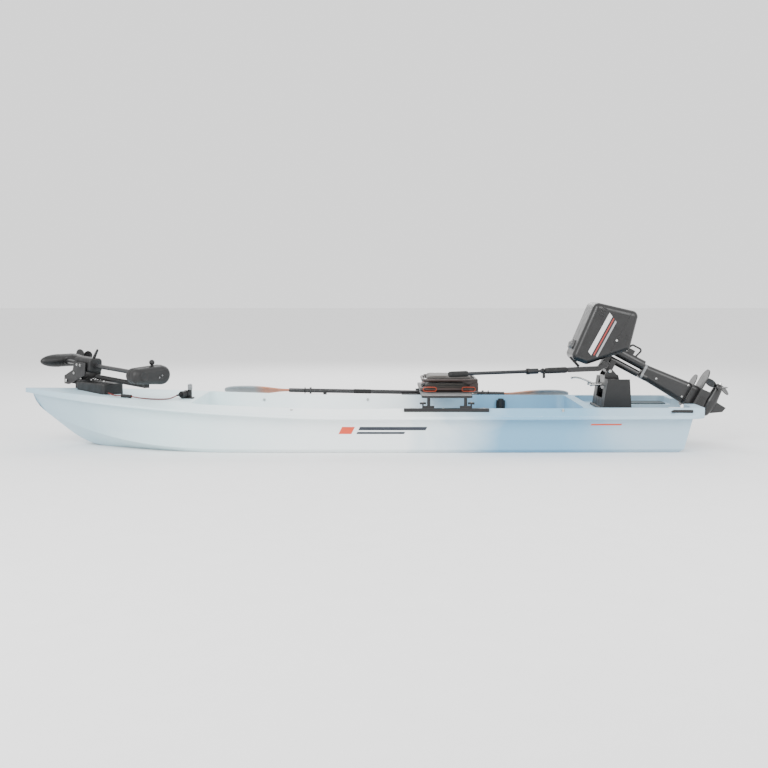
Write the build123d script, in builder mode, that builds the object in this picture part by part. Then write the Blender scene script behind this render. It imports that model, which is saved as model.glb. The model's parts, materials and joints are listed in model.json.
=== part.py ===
from build123d import *
from math import cos, pi, radians, sin, tan
import os

# Power skiff: a decked, flat-bottomed one-person skiff with a tilted outboard at the stern, a
# sliding bench with a folding seat, a paddle on the starboard gunwale and a bow trolling motor
# stowed across the deck. Millimetres. +X is the bow, +Y is port, +Z is up. The origin is on the
# underside of the hull, amidships, on the centreline.

# ---------------------------------------------------------------- overall sizes
LENGTH = 4320.0             # bow tip to the stern corners of the gunwale
BEAM = 1000.0               # over the gunwales
DEPTH = 280.0               # bottom to the gunwale top amidships
BOW_X = LENGTH / 2
STERN_X = -LENGTH / 2

# ---------------------------------------------------------------- hull
ENTRY_LENGTH = 2100.0       # how far aft of the tip the hull reaches its full beam
ENTRY_POWER = 3.4
TIP_HALF = 8.0              # half-width of the blunt bow tip
STERN_NARROWING = 30.0      # each side, from a third aft to the stern
NARROWING_START = -400.0
SHEER_START = 150.0         # the gunwale rises forward of here
SHEER_POWER = 1.35
STATIONS = 26               # spaces between the sections that shape the hull
TOP_RISE = 86.0             # of the gunwale top, at the stem
EDGE_RISE = 116.0           # of the gunwale's lower edge, at the stem
STEM_SETBACK = 43.0         # stem head behind the bow tip
RIM_DEPTH = 59.0            # gunwale top down to its lower edge
RIM_SLOPE_DROP = 41.0       # fall of the gunwale's sloped top
RIM_SLOPE_SHARE = 0.83      # inner edge of the slope, as a share of the half-beam there
SIDE_SHARE = 0.89           # hull side under the rim, as a share of the half-beam there
FOREFOOT_LENGTH = 540.0     # the keel lifts off the flat over this length
CHINE_HEIGHT = 22.0
CHINE_START = 800.0         # the chine rises forward of here
CHINE_RISE = 188.0
CHINE_SHARE = 0.888         # chine half-width, as a share of the hull side's
BOTTOM_SHARE = 0.94         # flat bottom, as a share of the chine's half-width
STEM_EDGE = 5.0             # half-width of the stem bar
OVERHANG = 80.0             # gunwale past the transom
TRANSOM_RAKE = 41.0
STERN_CORNER = 100.0        # plan radius of the stern corners

FLOOR_HEIGHT = 75.0
COCKPIT_FRONT = BOW_X - 1141.0
COCKPIT_AFT = STERN_X + 742.0
COCKPIT_DRAFT = 30.0        # cockpit walls lean in by this much at the floor
COCKPIT_CORNER = 60.0
STERN_DECK_DROP = 40.0      # the stern deck lies this far below the gunwale
STERN_DECK_MARGIN = 20.0
STERN_DECK_END = 70.0       # lip left at the stern
STERN_DECK_Z = DEPTH - STERN_DECK_DROP
WELL_HALF = 160.0           # half-width of the open motor well
PAD_THICKNESS = 6.0         # foam pads on the stern deck
EYE_R = 9.0                 # pad eyes on the gunwale and the cockpit walls

# ---------------------------------------------------------------- outboard and its mount
PIVOT_X = STERN_X + 527.0
BOARD_TOP = DEPTH + 150.0
PIVOT_Z = BOARD_TOP + 53.0
PIVOT = (PIVOT_X, 0.0, PIVOT_Z)
BOARD_SETBACK = 8.0         # board's front face ahead of the tilt pivot
BOARD_THICKNESS = 45.0
BOARD_FRONT = PIVOT_X + BOARD_SETBACK
BOARD_REAR = BOARD_FRONT - BOARD_THICKNESS
WELL_FRONT = PIVOT_X - 7.0
CHEEK_GAP = 165.0           # centreline to the inner face of each pedestal cheek
CHEEK_THICKNESS = 18.0
FLANGE_THICKNESS = 12.0
MOTOR_TILT = 62.0           # stored tilt, at its stop
STEER_SETBACK = 72.0        # steering axis behind the tilt pivot
ARM_GAP = 68.0              # centreline to the inner face of each clamp arm
ARM_THICKNESS = 12.0
SCREW_DROP = 90.0           # clamp screws below the tilt pivot
SCREW_Y = 45.0
SCREW_R = 7.0
TILT_TUBE_R = 10.0
RUNNING_FIT = 0.1           # radial play of a shaft in its bore
SWIVEL_TUBE_R = 22.0
SWIVEL_TOP = 22.0
SWIVEL_BOTTOM = -185.0
KNUCKLE_HALF = 62.0         # half-length of the swivel's tilt knuckle
STEER_PIN_R = 12.0
COWL_HALF = 138.0           # half-width of the motor cover
COWL_ROUND = 36.0           # edge radius of the cover
COWL_WALL = 4.0
COWL_SEAM = 70.0            # the cover's lower edge above the tilt pivot
PROP_RADIUS = 100.0
SHAFT_DEPTH = 695.0         # propeller axis below the tilt pivot

TILLER_Y = 75.0
TILLER_HINGE = (PIVOT_X + 73.0, TILLER_Y, PIVOT_Z + 17.0)
TILLER_DROOP = 2.5          # degrees down, going forward
TILLER_LENGTH = 365.0       # hinge to the extension's ball
TILLER_PIN_R = 5.0
TILLER_EYE_R = 16.0
TILLER_EYE_WIDTH = 35.0
BALL_R = 15.0
GRIP_R = 18.5
EXTENSION_LENGTH = 672.0
EXTENSION_SWING = 23.3      # degrees to port of straight ahead
EXTENSION_R = 11.0

# ---------------------------------------------------------------- bench and seat
RAIL_INSET = 60.0           # rail centre inboard of the gunwale's outer edge
RAIL_Y = BEAM / 2 - RAIL_INSET
RAIL_WIDTH = 25.0
RAIL_TOP = DEPTH + 4.0
RAIL_LENGTH = 522.0
RAIL_X = STERN_X + 1600.0
BENCH_X = STERN_X + 1596.5
BENCH_LENGTH = 311.0
BENCH_THICKNESS = 14.0
BENCH_TOP = DEPTH + 82.0
SLIDE_GAP = 0.5             # under the bench feet
POST_SPREAD = 226.0         # between the fore and aft posts
SEAT_X = STERN_X + 1569.0
SEAT_LENGTH = 370.0
SEAT_HALF = 183.0
SEAT_TUBE_R = 11.0
BACK_HALF = 170.0
BACK_TUBE_R = 10.0

# ---------------------------------------------------------------- paddle
PADDLE_Y = -(BEAM / 2 - 15.0)
PADDLE_X = STERN_X + 1895.0
PADDLE_Z = DEPTH + 12.0
PADDLE_LENGTH = 2400.0
PADDLE_R = 15.0
BLADE_LENGTH = 450.0
BLADE_HALF = 80.0
PADDLE_DROOP = 1.0          # degrees down, going aft
DRIP_RING_PLACE = 600.0     # from the middle of the shaft
BLADE_THICKNESS = 8.0
BLADE_CANT = 25.0           # blades lie parallel to the gunwale's slope
CLIP_PLACE = 500.0          # clips, from the middle of the shaft
CLIP_WIDTH = 22.0

# ---------------------------------------------------------------- trolling motor
STOW_ANGLE = 45.7           # degrees the stowed shaft points aft of athwartships
STOW_DROOP = 2.25           # degrees the shaft falls towards the head
DEPLOY_HINGE = (BOW_X - 250.0, -240.0, DEPTH + 120.0)
TORPEDO_TO_HINGE = 155.0    # along the shaft
SHAFT_OVER_HINGE = 118.0
SHAFT_R = 14.0
SHAFT_LENGTH = 1030.0
HEAD_START = 989.0
HEAD_THICKNESS = 110.0
HOUSING_START = 231.0
HOUSING_END = 427.0
HOUSING_LOW = 45.0          # housing's underside below the shaft
TORPEDO_R = 43.5
TORPEDO_NOSE = 40.0         # the nose begins to taper here
TROLLING_PROP_R = 105.0
COIL_R = 16.5
COIL_DROP = 70.0            # coiled lead below the shaft
ARM_INNER = 52.0            # trolling motor arms, centreline to inner face
ARM_PLATE = 9.0
LEAD_R = 3.75

os.makedirs("parts", exist_ok=True)


def save(piece, name):
    """Label a finished piece and write it to its own file."""
    piece.label = name
    export_step(piece, f"parts/{name}.step")


def share(x, start, end):
    """How far x has come from start to end, from 0 to 1."""
    return min(1.0, max(0.0, (x - start) / (end - start)))


# ---------------------------------------------------------------- hull shape, as functions of x
STEM_X = BOW_X - STEM_SETBACK


def half_beam(x):
    """Outer half-width of the gunwale."""
    entry = max(0.0, 1 - (BOW_X - x) / ENTRY_LENGTH) ** ENTRY_POWER
    narrowing = STERN_NARROWING * share(x, NARROWING_START, STERN_X) ** 2
    return max(TIP_HALF, BEAM / 2 * (1 - entry) - narrowing)


def sheer(x, rise):
    return rise * max(0.0, (x - SHEER_START) / (STEM_X - SHEER_START)) ** SHEER_POWER


def gunwale_top(x):
    return DEPTH + sheer(x, TOP_RISE)


def gunwale_edge(x):
    return DEPTH - RIM_DEPTH + sheer(x, EDGE_RISE)


def rim_inner(x):
    return RIM_SLOPE_SHARE * half_beam(x)


def keel_height(x):
    return gunwale_edge(STEM_X) * share(x, BOW_X - FOREFOOT_LENGTH, STEM_X) ** 2


def chine_height(x):
    lifted = CHINE_HEIGHT + CHINE_RISE * share(x, CHINE_START, STEM_X - 58) ** 2.2
    return max(lifted, keel_height(x) + 12)


def side_section(x):
    """Hull below the gunwale at one station."""
    top = SIDE_SHARE * half_beam(x)
    chine = CHINE_SHARE * top * (1 - share(x, CHINE_START, STEM_X - 58) ** 4) + STEM_EDGE + 1
    flat = BOTTOM_SHARE * chine * (1 - share(x, CHINE_START + 100, STEM_X - 167) ** 1.5)
    keel = max(STEM_EDGE, flat)
    starboard = [(-keel, keel_height(x)), (-chine, chine_height(x)), (-top, gunwale_edge(x) + 15)]
    port = [(-y, z) for y, z in reversed(starboard)]
    return starboard + port


def rim_section(x):
    """Gunwale and deck at one station: a slab with a sloped shoulder on each side."""
    outer = half_beam(x)
    edge = gunwale_edge(x)
    shoulder = gunwale_top(x) - RIM_SLOPE_DROP * (gunwale_top(x) - edge) / RIM_DEPTH
    starboard = [(-outer, edge), (-outer, shoulder), (-rim_inner(x), gunwale_top(x))]
    port = [(-y, z) for y, z in reversed(starboard)]
    return starboard + port


def station_sketch(x, points):
    with BuildSketch(Plane.YZ.offset(x)) as station:
        with BuildLine():
            Polyline(*points, close=True)
        make_face()
    return station.sketch


def lofted(section, aft_end, fore_end):
    """One smooth body through evenly spaced sections."""
    with BuildPart() as form:
        for i in range(STATIONS + 1):
            x = aft_end + (fore_end - aft_end) * i / STATIONS
            add(station_sketch(x, section(x)))
        loft()
    return form.part


def wall_half(x, height):
    """Inner face of the cockpit wall."""
    return rim_inner(x) - COCKPIT_DRAFT * (DEPTH - height) / (DEPTH - FLOOR_HEIGHT)


def cockpit_outline(height):
    """Plan of the cockpit at one height."""
    span = [COCKPIT_AFT + (COCKPIT_FRONT - COCKPIT_AFT) * i / 6 for i in range(7)]
    with BuildSketch(Plane.XY.offset(height)) as outline:
        with BuildLine():
            port = Spline(*[(x, wall_half(x, height)) for x in span])
            starboard = Spline(*[(x, -wall_half(x, height)) for x in span])
            Line(port @ 0, starboard @ 0)
            Line(port @ 1, starboard @ 1)
        make_face()
        fillet(outline.vertices(), COCKPIT_CORNER)
    return outline.sketch


side_form = lofted(side_section, STERN_X + OVERHANG, STEM_X - STEM_EDGE)
rim_form = lofted(rim_section, STERN_X, BOW_X)

with BuildPart() as rim:
    add(rim_form)
    for side in (1, -1):
        corner_y = side * (half_beam(STERN_X) - STERN_CORNER)
        with BuildSketch(Plane.XY):
            with Locations((STERN_X, side * half_beam(STERN_X))):
                Rectangle(2 * STERN_CORNER, 2 * STERN_CORNER)
            with Locations((STERN_X + STERN_CORNER, corner_y)):
                Circle(STERN_CORNER, mode=Mode.SUBTRACT)
        extrude(amount=2 * DEPTH, mode=Mode.SUBTRACT)

with BuildPart() as hull:
    add(side_form)
    with BuildSketch(Plane.XZ) as rake:
        with BuildLine():
            foot = STERN_X + OVERHANG + TRANSOM_RAKE
            Polyline((STERN_X, -20), (foot + 30, -20), (foot + 30, 0), (foot, 20),
                     (foot - TRANSOM_RAKE, gunwale_edge(STERN_X)), (STERN_X, gunwale_edge(STERN_X)),
                     close=True)
        make_face()
    extrude(amount=BEAM, both=True, mode=Mode.SUBTRACT)
    split(bisect_by=Plane.XY, keep=Keep.TOP)
    add(rim.part)
    add(cockpit_outline(FLOOR_HEIGHT))
    add(cockpit_outline(2 * DEPTH))
    loft(ruled=True, mode=Mode.SUBTRACT)
    deck_half = rim_inner(STERN_X) - STERN_DECK_MARGIN
    with BuildSketch(Plane.XY.offset(STERN_DECK_Z)):
        with Locations(((COCKPIT_AFT - COCKPIT_CORNER + STERN_X + STERN_DECK_END) / 2, 0)):
            RectangleRounded(COCKPIT_AFT - COCKPIT_CORNER - STERN_X - STERN_DECK_END, 2 * deck_half, 50)
    extrude(amount=DEPTH, mode=Mode.SUBTRACT)
    with BuildSketch(Plane.XY.offset(-DEPTH)):
        with Locations(((WELL_FRONT + STERN_X) / 2 - 100, 0)):
            RectangleRounded(WELL_FRONT - STERN_X + 200, 2 * WELL_HALF, 30)
    extrude(amount=3 * DEPTH, mode=Mode.SUBTRACT)
save(hull.part, "hull")


# ---------------------------------------------------------------- fittings on the hull
def both_sides(y):
    return (y, -y)


def tilted_back(point):
    """A point of the boat as (x, z) on the upright motor, about its tilt pivot."""
    dx = point[0] - PIVOT_X
    dz = point[2] - PIVOT_Z
    turn = radians(MOTOR_TILT)
    return (dx * cos(turn) - dz * sin(turn), dx * sin(turn) + dz * cos(turn))


with BuildPart() as stern_pads:
    for y in both_sides((WELL_HALF + deck_half) / 2):
        with BuildSketch(Plane.XY.offset(STERN_DECK_Z)):
            with Locations((STERN_X + 210, y)):
                RectangleRounded(240, deck_half - WELL_HALF - 50, 25)
        extrude(amount=PAD_THICKNESS)
save(stern_pads.part, "stern_pads")

with BuildPart() as seat_rails:
    for y in both_sides(RAIL_Y):
        with Locations((RAIL_X, y, RAIL_TOP - 15)):
            Box(RAIL_LENGTH, RAIL_WIDTH, 30)
    add(hull.part, mode=Mode.SUBTRACT)
save(seat_rails.part, "seat_rails")

with BuildPart() as stern_grips:
    for y in both_sides(half_beam(STERN_X) - 42):
        with BuildSketch(Plane.XY.offset(DEPTH - RIM_SLOPE_DROP)):
            with Locations((STERN_X + 145, y)):
                RectangleRounded(120, 30, 10)
        extrude(amount=RIM_SLOPE_DROP - 8)
    add(hull.part, mode=Mode.SUBTRACT)
save(stern_grips.part, "stern_grips")

ROD_TUBE_X = STERN_X + 1179.0
ROD_TUBE_TOP = DEPTH - 24.0
ROD_TUBE_BORE = 17.0
ROD_TUBE_WALL = 3.0
ROD_TUBE_LENGTH = 80.0
ROD_TUBE_Y = -(wall_half(ROD_TUBE_X, ROD_TUBE_TOP - ROD_TUBE_LENGTH) - ROD_TUBE_BORE - 2)
with BuildPart() as rod_tube:
    with BuildSketch(Plane.XY.offset(ROD_TUBE_TOP - ROD_TUBE_LENGTH)):
        with Locations((ROD_TUBE_X, ROD_TUBE_Y)):
            Circle(ROD_TUBE_BORE + ROD_TUBE_WALL)
    extrude(amount=ROD_TUBE_LENGTH)
    with BuildSketch(Plane.XY.offset(ROD_TUBE_TOP - ROD_TUBE_LENGTH)):
        with Locations((ROD_TUBE_X, ROD_TUBE_Y - 12)):
            Rectangle(60, 20)
    extrude(amount=ROD_TUBE_LENGTH - 12)
    add(hull.part, mode=Mode.SUBTRACT)
    with BuildSketch(Plane.XY.offset(ROD_TUBE_TOP - ROD_TUBE_LENGTH + 5)):
        with Locations((ROD_TUBE_X, ROD_TUBE_Y)):
            Circle(ROD_TUBE_BORE)
    extrude(amount=ROD_TUBE_LENGTH, mode=Mode.SUBTRACT)
save(rod_tube.part, "rod_tube")

with BuildPart() as pad_eyes:
    for x in (STERN_X + 885, BOW_X - 1770):
        for y in both_sides(RAIL_Y - 2):
            with BuildSketch(Plane.XY.offset(DEPTH - 30)):
                with Locations((x, y)):
                    Circle(EYE_R)
            extrude(amount=28)
    for x in (BOW_X - 2225, BOW_X - 1510):
        for side in (1, -1):
            wall = wall_half(x, DEPTH - 33)
            with BuildSketch(Plane.XZ.offset(-side * (wall + 12))):
                with Locations((x, DEPTH - 33)):
                    Circle(EYE_R)
            extrude(amount=side * 22)
    add(hull.part, mode=Mode.SUBTRACT)
save(pad_eyes.part, "pad_eyes")

# ---------------------------------------------------------------- paddle in its clips
def paddle_plane(along):
    """Plane square to the paddle's shaft, `along` ahead of its middle."""
    forward = (cos(radians(PADDLE_DROOP)), 0, sin(radians(PADDLE_DROOP)))
    origin = Vector(PADDLE_X, PADDLE_Y, PADDLE_Z) + Vector(*forward) * along
    return Plane(origin=origin, x_dir=(0, 1, 0), z_dir=forward)


shaft_half = PADDLE_LENGTH / 2 - BLADE_LENGTH
with BuildPart() as paddle_shaft:
    with BuildSketch(paddle_plane(-shaft_half)):
        Circle(PADDLE_R)
    extrude(amount=2 * shaft_half)
    for along in both_sides(DRIP_RING_PLACE):
        with BuildSketch(paddle_plane(along - 6)):
            Circle(PADDLE_R + 9)
        extrude(amount=12)
save(paddle_shaft.part, "paddle_shaft")

with BuildPart() as paddle_blades:
    for end in (1, -1):
        profile = Plane(origin=paddle_plane(end * shaft_half).origin,
                        x_dir=paddle_plane(0).z_dir * end,
                        z_dir=(0, -sin(radians(BLADE_CANT)), cos(radians(BLADE_CANT))))
        with BuildSketch(profile.offset(-BLADE_THICKNESS / 2)):
            with BuildLine():
                outline = Spline((0, PADDLE_R), (120, 0.55 * BLADE_HALF), (300, BLADE_HALF),
                                 (BLADE_LENGTH, 0), tangents=[(1, 0), (0, -1)])
                mirror(outline, about=Plane.XZ)
                Line((0, PADDLE_R), (0, -PADDLE_R))
            make_face()
        extrude(amount=BLADE_THICKNESS)
save(paddle_blades.part, "paddle_blades")

with BuildPart() as paddle_clips:
    for along in both_sides(CLIP_PLACE):
        seat = paddle_plane(along).origin
        with Locations((seat.X, seat.Y + 4, seat.Z - 22)):
            Box(CLIP_WIDTH, 46, 56)
        with BuildSketch(Plane.YZ.offset(seat.X - CLIP_WIDTH)):
            with Locations((seat.Y, seat.Z)):
                Circle(PADDLE_R + 0.5)
            with Locations((seat.Y, seat.Z + 20)):
                Rectangle(2 * PADDLE_R - 4, 40)
        extrude(amount=2 * CLIP_WIDTH, mode=Mode.SUBTRACT)
    add(hull.part, mode=Mode.SUBTRACT)
save(paddle_clips.part, "paddle_clips")

# ---------------------------------------------------------------- motor mount
def side_profile(points, y):
    """Sketch of points (x, z) on the fore-and-aft plane at y, facing starboard."""
    with BuildSketch(Plane.XZ.offset(-y)) as profile:
        with BuildLine():
            Polyline(*points, close=True)
        make_face()
    return profile.sketch


cheek = [(PIVOT_X + 63, STERN_DECK_Z), (PIVOT_X - 122, STERN_DECK_Z),
         (PIVOT_X - 107, BOARD_TOP + 8), (PIVOT_X + 33, BOARD_TOP + 8)]
panel = [(PIVOT_X + 63, STERN_DECK_Z), (PIVOT_X + 51, STERN_DECK_Z),
         (PIVOT_X + 21, BOARD_TOP + 8), (PIVOT_X + 33, BOARD_TOP + 8)]
with BuildPart() as motor_mount:
    for side in (1, -1):
        extrude(side_profile(cheek, side * CHEEK_GAP), amount=-side * CHEEK_THICKNESS)
    extrude(side_profile(panel, 0), amount=CHEEK_GAP + 1, both=True)
    with BuildSketch(Plane.XY.offset(STERN_DECK_Z)):
        with Locations((PIVOT_X - 30, 0)):
            RectangleRounded(210, 2 * CHEEK_GAP + 4 * CHEEK_THICKNESS, 15)
        with Locations((WELL_FRONT - 200, 0)):
            Rectangle(400, 2 * WELL_HALF, mode=Mode.SUBTRACT)
    extrude(amount=FLANGE_THICKNESS)
    with BuildSketch(Plane.XY.offset(PIVOT_Z - 175)):
        with Locations((PIVOT_X + 45, 0)):
            RectangleRounded(60, 2 * ARM_GAP + 40, 8)
    extrude(amount=200, mode=Mode.SUBTRACT)
save(motor_mount.part, "motor_mount")

with BuildPart() as transom_board:
    with BuildSketch(Plane.YZ.offset(BOARD_REAR)):
        with Locations((0, (BOARD_TOP + STERN_DECK_Z + FLANGE_THICKNESS) / 2)):
            RectangleRounded(2 * CHEEK_GAP, BOARD_TOP - STERN_DECK_Z - FLANGE_THICKNESS, 12)
    extrude(amount=BOARD_THICKNESS)
    add(motor_mount.part, mode=Mode.SUBTRACT)
save(transom_board.part, "transom_board")

# ---------------------------------------------------------------- clamp bracket, fixed on the board
def from_pivot(points):
    return [(PIVOT_X + x, PIVOT_Z + z) for x, z in points]


hook = from_pivot([(33, -153), (33, -25), (12, 14), (-12, 14), (-58, -36), (-75, -170),
                   (BOARD_SETBACK - BOARD_THICKNESS, -170), (BOARD_SETBACK - BOARD_THICKNESS, -50),
                   (BOARD_SETBACK + 4, -50), (BOARD_SETBACK + 4, -153)])
with BuildPart() as clamp_bracket:
    for side in (1, -1):
        extrude(side_profile(hook, side * ARM_GAP), amount=-side * ARM_THICKNESS)
        with BuildSketch(Plane.XZ.offset(-side * ARM_GAP)):
            with Locations((PIVOT_X, PIVOT_Z)):
                Circle(17)
        extrude(amount=-side * ARM_THICKNESS)
    with Locations((PIVOT_X + 25, 0, PIVOT_Z - 75)):
        Box(16, 2 * ARM_GAP + 2, 92)
    with BuildSketch(Plane.YZ.offset(PIVOT_X)):
        with Locations(*[(y, PIVOT_Z - SCREW_DROP) for y in both_sides(SCREW_Y)]):
            Circle(SCREW_R + RUNNING_FIT)
    extrude(amount=40, mode=Mode.SUBTRACT)
    with BuildSketch(Plane.XZ.offset(-ARM_GAP - ARM_THICKNESS - 4)):
        with Locations((PIVOT_X, PIVOT_Z)):
            Circle(TILT_TUBE_R)
    extrude(amount=2 * (ARM_GAP + ARM_THICKNESS + 4))
save(clamp_bracket.part, "clamp_bracket")

with BuildPart() as clamp_screws:
    for y in both_sides(SCREW_Y):
        place = Plane(origin=(BOARD_FRONT, y, PIVOT_Z - SCREW_DROP), z_dir=(1, 0, 0))
        with BuildSketch(place):
            Circle(16)
        extrude(amount=6)
        with BuildSketch(place):
            Circle(SCREW_R)
        extrude(amount=100)
        with BuildSketch(place.offset(92)):
            SlotOverall(62, 13, rotation=90)
        extrude(amount=12)
save(clamp_screws.part, "clamp_screws")

with BuildPart() as tilt_lever:
    with BuildLine():
        handle = Spline((PIVOT_X + 33, -5, PIVOT_Z - SCREW_DROP), (PIVOT_X + 100, -8, PIVOT_Z - 82),
                        (PIVOT_X + 165, -10, PIVOT_Z - 56), (PIVOT_X + 230, -10, PIVOT_Z - 50))
    with BuildSketch(Plane(origin=handle @ 0, z_dir=handle % 0)):
        Circle(5.5)
    sweep()
    with Locations(handle @ 1):
        Sphere(8)
    add(clamp_bracket.part, mode=Mode.SUBTRACT)
save(tilt_lever.part, "tilt_lever")

# ---------------------------------------------------------------- outboard, upright about its pivot
# The motor is drawn running: x forward, z up, origin on the tilt axis. Then it is tilted to its stop.
def tilted(piece):
    return piece.moved(Location(PIVOT, (0, MOTOR_TILT, 0)))


AXIS_X = -STEER_SETBACK
with BuildPart() as swivel_bracket:
    with BuildSketch(Plane.XY.offset(SWIVEL_BOTTOM)):
        with Locations((AXIS_X, 0)):
            Circle(SWIVEL_TUBE_R)
    extrude(amount=SWIVEL_TOP - SWIVEL_BOTTOM)
    with BuildSketch(Plane.XZ.offset(-KNUCKLE_HALF)):
        Circle(22)
    extrude(amount=2 * KNUCKLE_HALF)
    with Locations((AXIS_X / 2, 0, 0)):
        Box(STEER_SETBACK, 76, 36)
    with BuildSketch(Plane.XZ.offset(-KNUCKLE_HALF - 1)):
        Circle(TILT_TUBE_R + RUNNING_FIT)
    extrude(amount=2 * KNUCKLE_HALF + 2, mode=Mode.SUBTRACT)
    with BuildSketch(Plane.XY.offset(SWIVEL_BOTTOM - 1)):
        with Locations((AXIS_X, 0)):
            Circle(STEER_PIN_R + RUNNING_FIT)
    extrude(amount=SWIVEL_TOP - SWIVEL_BOTTOM + 2, mode=Mode.SUBTRACT)
save(tilted(swivel_bracket.part), "swivel_bracket")


def cowl_form(inset):
    """Motor cover, drawn in from its outside by `inset`."""
    corners = [(49, 271), (-342, 307), (-417, 26), (-177, -37), (34, 160)]
    with BuildPart() as form:
        with BuildSketch(Plane.XZ.offset(-(COWL_HALF - inset))) as profile:
            with BuildLine():
                Polyline(*corners, close=True)
            make_face()
            fillet(profile.vertices(), 38)
            if inset:
                offset(amount=-inset)
        extrude(amount=2 * (COWL_HALF - inset))
        ends = form.faces().filter_by(Axis.Y)
        fillet(ends.edges(), COWL_ROUND - inset)
    return form.part


cowl_outside = cowl_form(0)
cowl_inside = cowl_form(COWL_WALL)

with BuildPart() as cowl:
    add(cowl_outside)
    split(bisect_by=Plane.XY.offset(COWL_SEAM + 0.5), keep=Keep.TOP)
    add(cowl_inside, mode=Mode.SUBTRACT)
save(tilted(cowl.part), "cowl")

with BuildPart() as lower_cowl:
    add(cowl_outside)
    split(bisect_by=Plane.XY.offset(COWL_SEAM - 0.5), keep=Keep.BOTTOM)
    with BuildSketch(Plane.XY.offset(SWIVEL_BOTTOM)):
        with Locations((AXIS_X, 0)):
            Circle(STEER_PIN_R)
    extrude(amount=60 - SWIVEL_BOTTOM)
save(tilted(lower_cowl.part), "lower_cowl")

with BuildPart() as engine_block:
    with Locations((-200, 0, COWL_SEAM + 86)):
        Box(230, 150, 170)
save(tilted(engine_block.part), "engine_block")

with BuildPart() as fuel_cap:
    with BuildSketch(Plane(origin=(-40, 0, 279), z_dir=(-0.092, 0, 0.996))):
        Circle(30)
    extrude(amount=22)
    add(cowl_outside, mode=Mode.SUBTRACT)
save(tilted(fuel_cap.part), "fuel_cap")

with BuildPart() as steering_bracket:
    extrude(side_profile([(0, 28), (0, 62), (-70, 62), (-118, 62), (-118, 28)], -34), amount=-68)
    cross_arm = [(-8, 34), (-8, 66), (-40, 66), (-40, 34)]
    extrude(side_profile(cross_arm, 0), amount=-TILLER_Y - TILLER_EYE_WIDTH / 2 - 6)
    lug = tilted_back(TILLER_HINGE)
    for y in both_sides(TILLER_EYE_WIDTH / 2 + 0.4):
        extrude(side_profile([(-30, 36), (-30, 66), (lug[0] - 8, lug[1] + 12), (lug[0] + 8, lug[1] - 12)],
                         TILLER_Y + y), amount=-6 if y > 0 else 6)
        with BuildSketch(Plane.XZ.offset(-TILLER_Y - y)):
            with Locations(lug):
                Circle(14)
        extrude(amount=-6 if y > 0 else 6)
    with BuildSketch(Plane.XZ.offset(-TILLER_Y - TILLER_EYE_WIDTH / 2 - 6)):
        with Locations(lug):
            Circle(TILLER_PIN_R)
    extrude(amount=TILLER_EYE_WIDTH + 12)
    add(lower_cowl.part, mode=Mode.SUBTRACT)
save(tilted(steering_bracket.part), "steering_bracket")

LEG_HALF = 30.0
PLATE_Z = -582.0
with BuildPart() as driveshaft_housing:
    # height, leading edge and trailing edge of each section of the streamlined leg
    for z, front, rear in ((10, -104, -168), (-191, -104, -168), (-195, -54, -152), (-240, -54, -154),
                           (-485, -40, -180), (PLATE_Z + 4, -34, -186)):
        with BuildSketch(Plane.XY.offset(z)):
            with Locations(((front + rear) / 2, 0)):
                SlotOverall(front - rear, 2 * LEG_HALF)
    loft(ruled=True)
    with BuildSketch(Plane.XY.offset(-530)):
        with Locations((-136, 0)):
            SlotOverall(226, 116)
    extrude(amount=6)
    with BuildSketch(Plane.XY.offset(-243)):
        with Locations((AXIS_X - 2, 0)):
            SlotOverall(72, 44, rotation=90)
    extrude(amount=48)
    with Locations((-176, 0, -76)):
        Box(36, 34, 40)
    with BuildSketch(Plane.XY.offset(-190)):
        with Locations((AXIS_X, 0)):
            Circle(STEER_PIN_R + 0.2)
    extrude(amount=-52, mode=Mode.SUBTRACT)
    add(lower_cowl.part, mode=Mode.SUBTRACT)
save(tilted(driveshaft_housing.part), "driveshaft_housing")

with BuildPart() as gearcase:
    with BuildSketch(Plane.XY.offset(PLATE_Z - 4)):
        with Locations((-168, 0)):
            SlotOverall(290, 150)
        with Locations((40, 0)):
            Rectangle(148, 150, mode=Mode.SUBTRACT)
    extrude(amount=8)
    strut = [(-36, PLATE_Z), (-48, -SHAFT_DEPTH), (-190, -SHAFT_DEPTH), (-182, PLATE_Z)]
    extrude(side_profile(strut, -18), amount=-36)
    with BuildSketch(Plane.XZ):
        with BuildLine():
            top = Spline((-36, -SHAFT_DEPTH), (-70, -SHAFT_DEPTH + 31), (-120, -SHAFT_DEPTH + 38),
                         (-228, -SHAFT_DEPTH + 30), tangents=[(0, 1), (-1, -0.1)])
            Line(top @ 1, (-228, -SHAFT_DEPTH))
            Line((-228, -SHAFT_DEPTH), top @ 0)
        make_face()
    revolve(axis=Axis((0, 0, -SHAFT_DEPTH), (1, 0, 0)))
    extrude(side_profile([(-62, -720), (-112, -796), (-147, -803), (-151, -736), (-190, -722)], -4), amount=-8)
save(tilted(gearcase.part), "gearcase")


def propeller(hub_front, hub_length, hub_r, radius, blade_width, blades, pitch):
    """Screw on the x axis: its hub runs aft from x = hub_front."""
    with BuildPart() as screw:
        with BuildSketch(Plane.YZ.offset(hub_front - hub_length)):
            Circle(hub_r)
        extrude(amount=hub_length)
        chamfer(screw.edges().group_by(Axis.X)[0], hub_r * 0.45)
        for i in range(blades):
            turn = radians(360 / blades * i)
            root = Vector(0, cos(turn), sin(turn))
            across = Vector(0, -sin(turn), cos(turn))
            lean = Vector(sin(radians(pitch)), 0, 0) + across * cos(radians(pitch))
            middle = Vector(hub_front - hub_length / 2, 0, 0) + root * (radius + hub_r * 0.6) / 2
            blade_plane = Plane(origin=middle, x_dir=root, z_dir=root.cross(lean))
            with BuildSketch(blade_plane.offset(-1.75)):
                Ellipse((radius - hub_r * 0.6) / 2, blade_width / 2)
            extrude(amount=3.5)
    return screw.part


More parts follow.
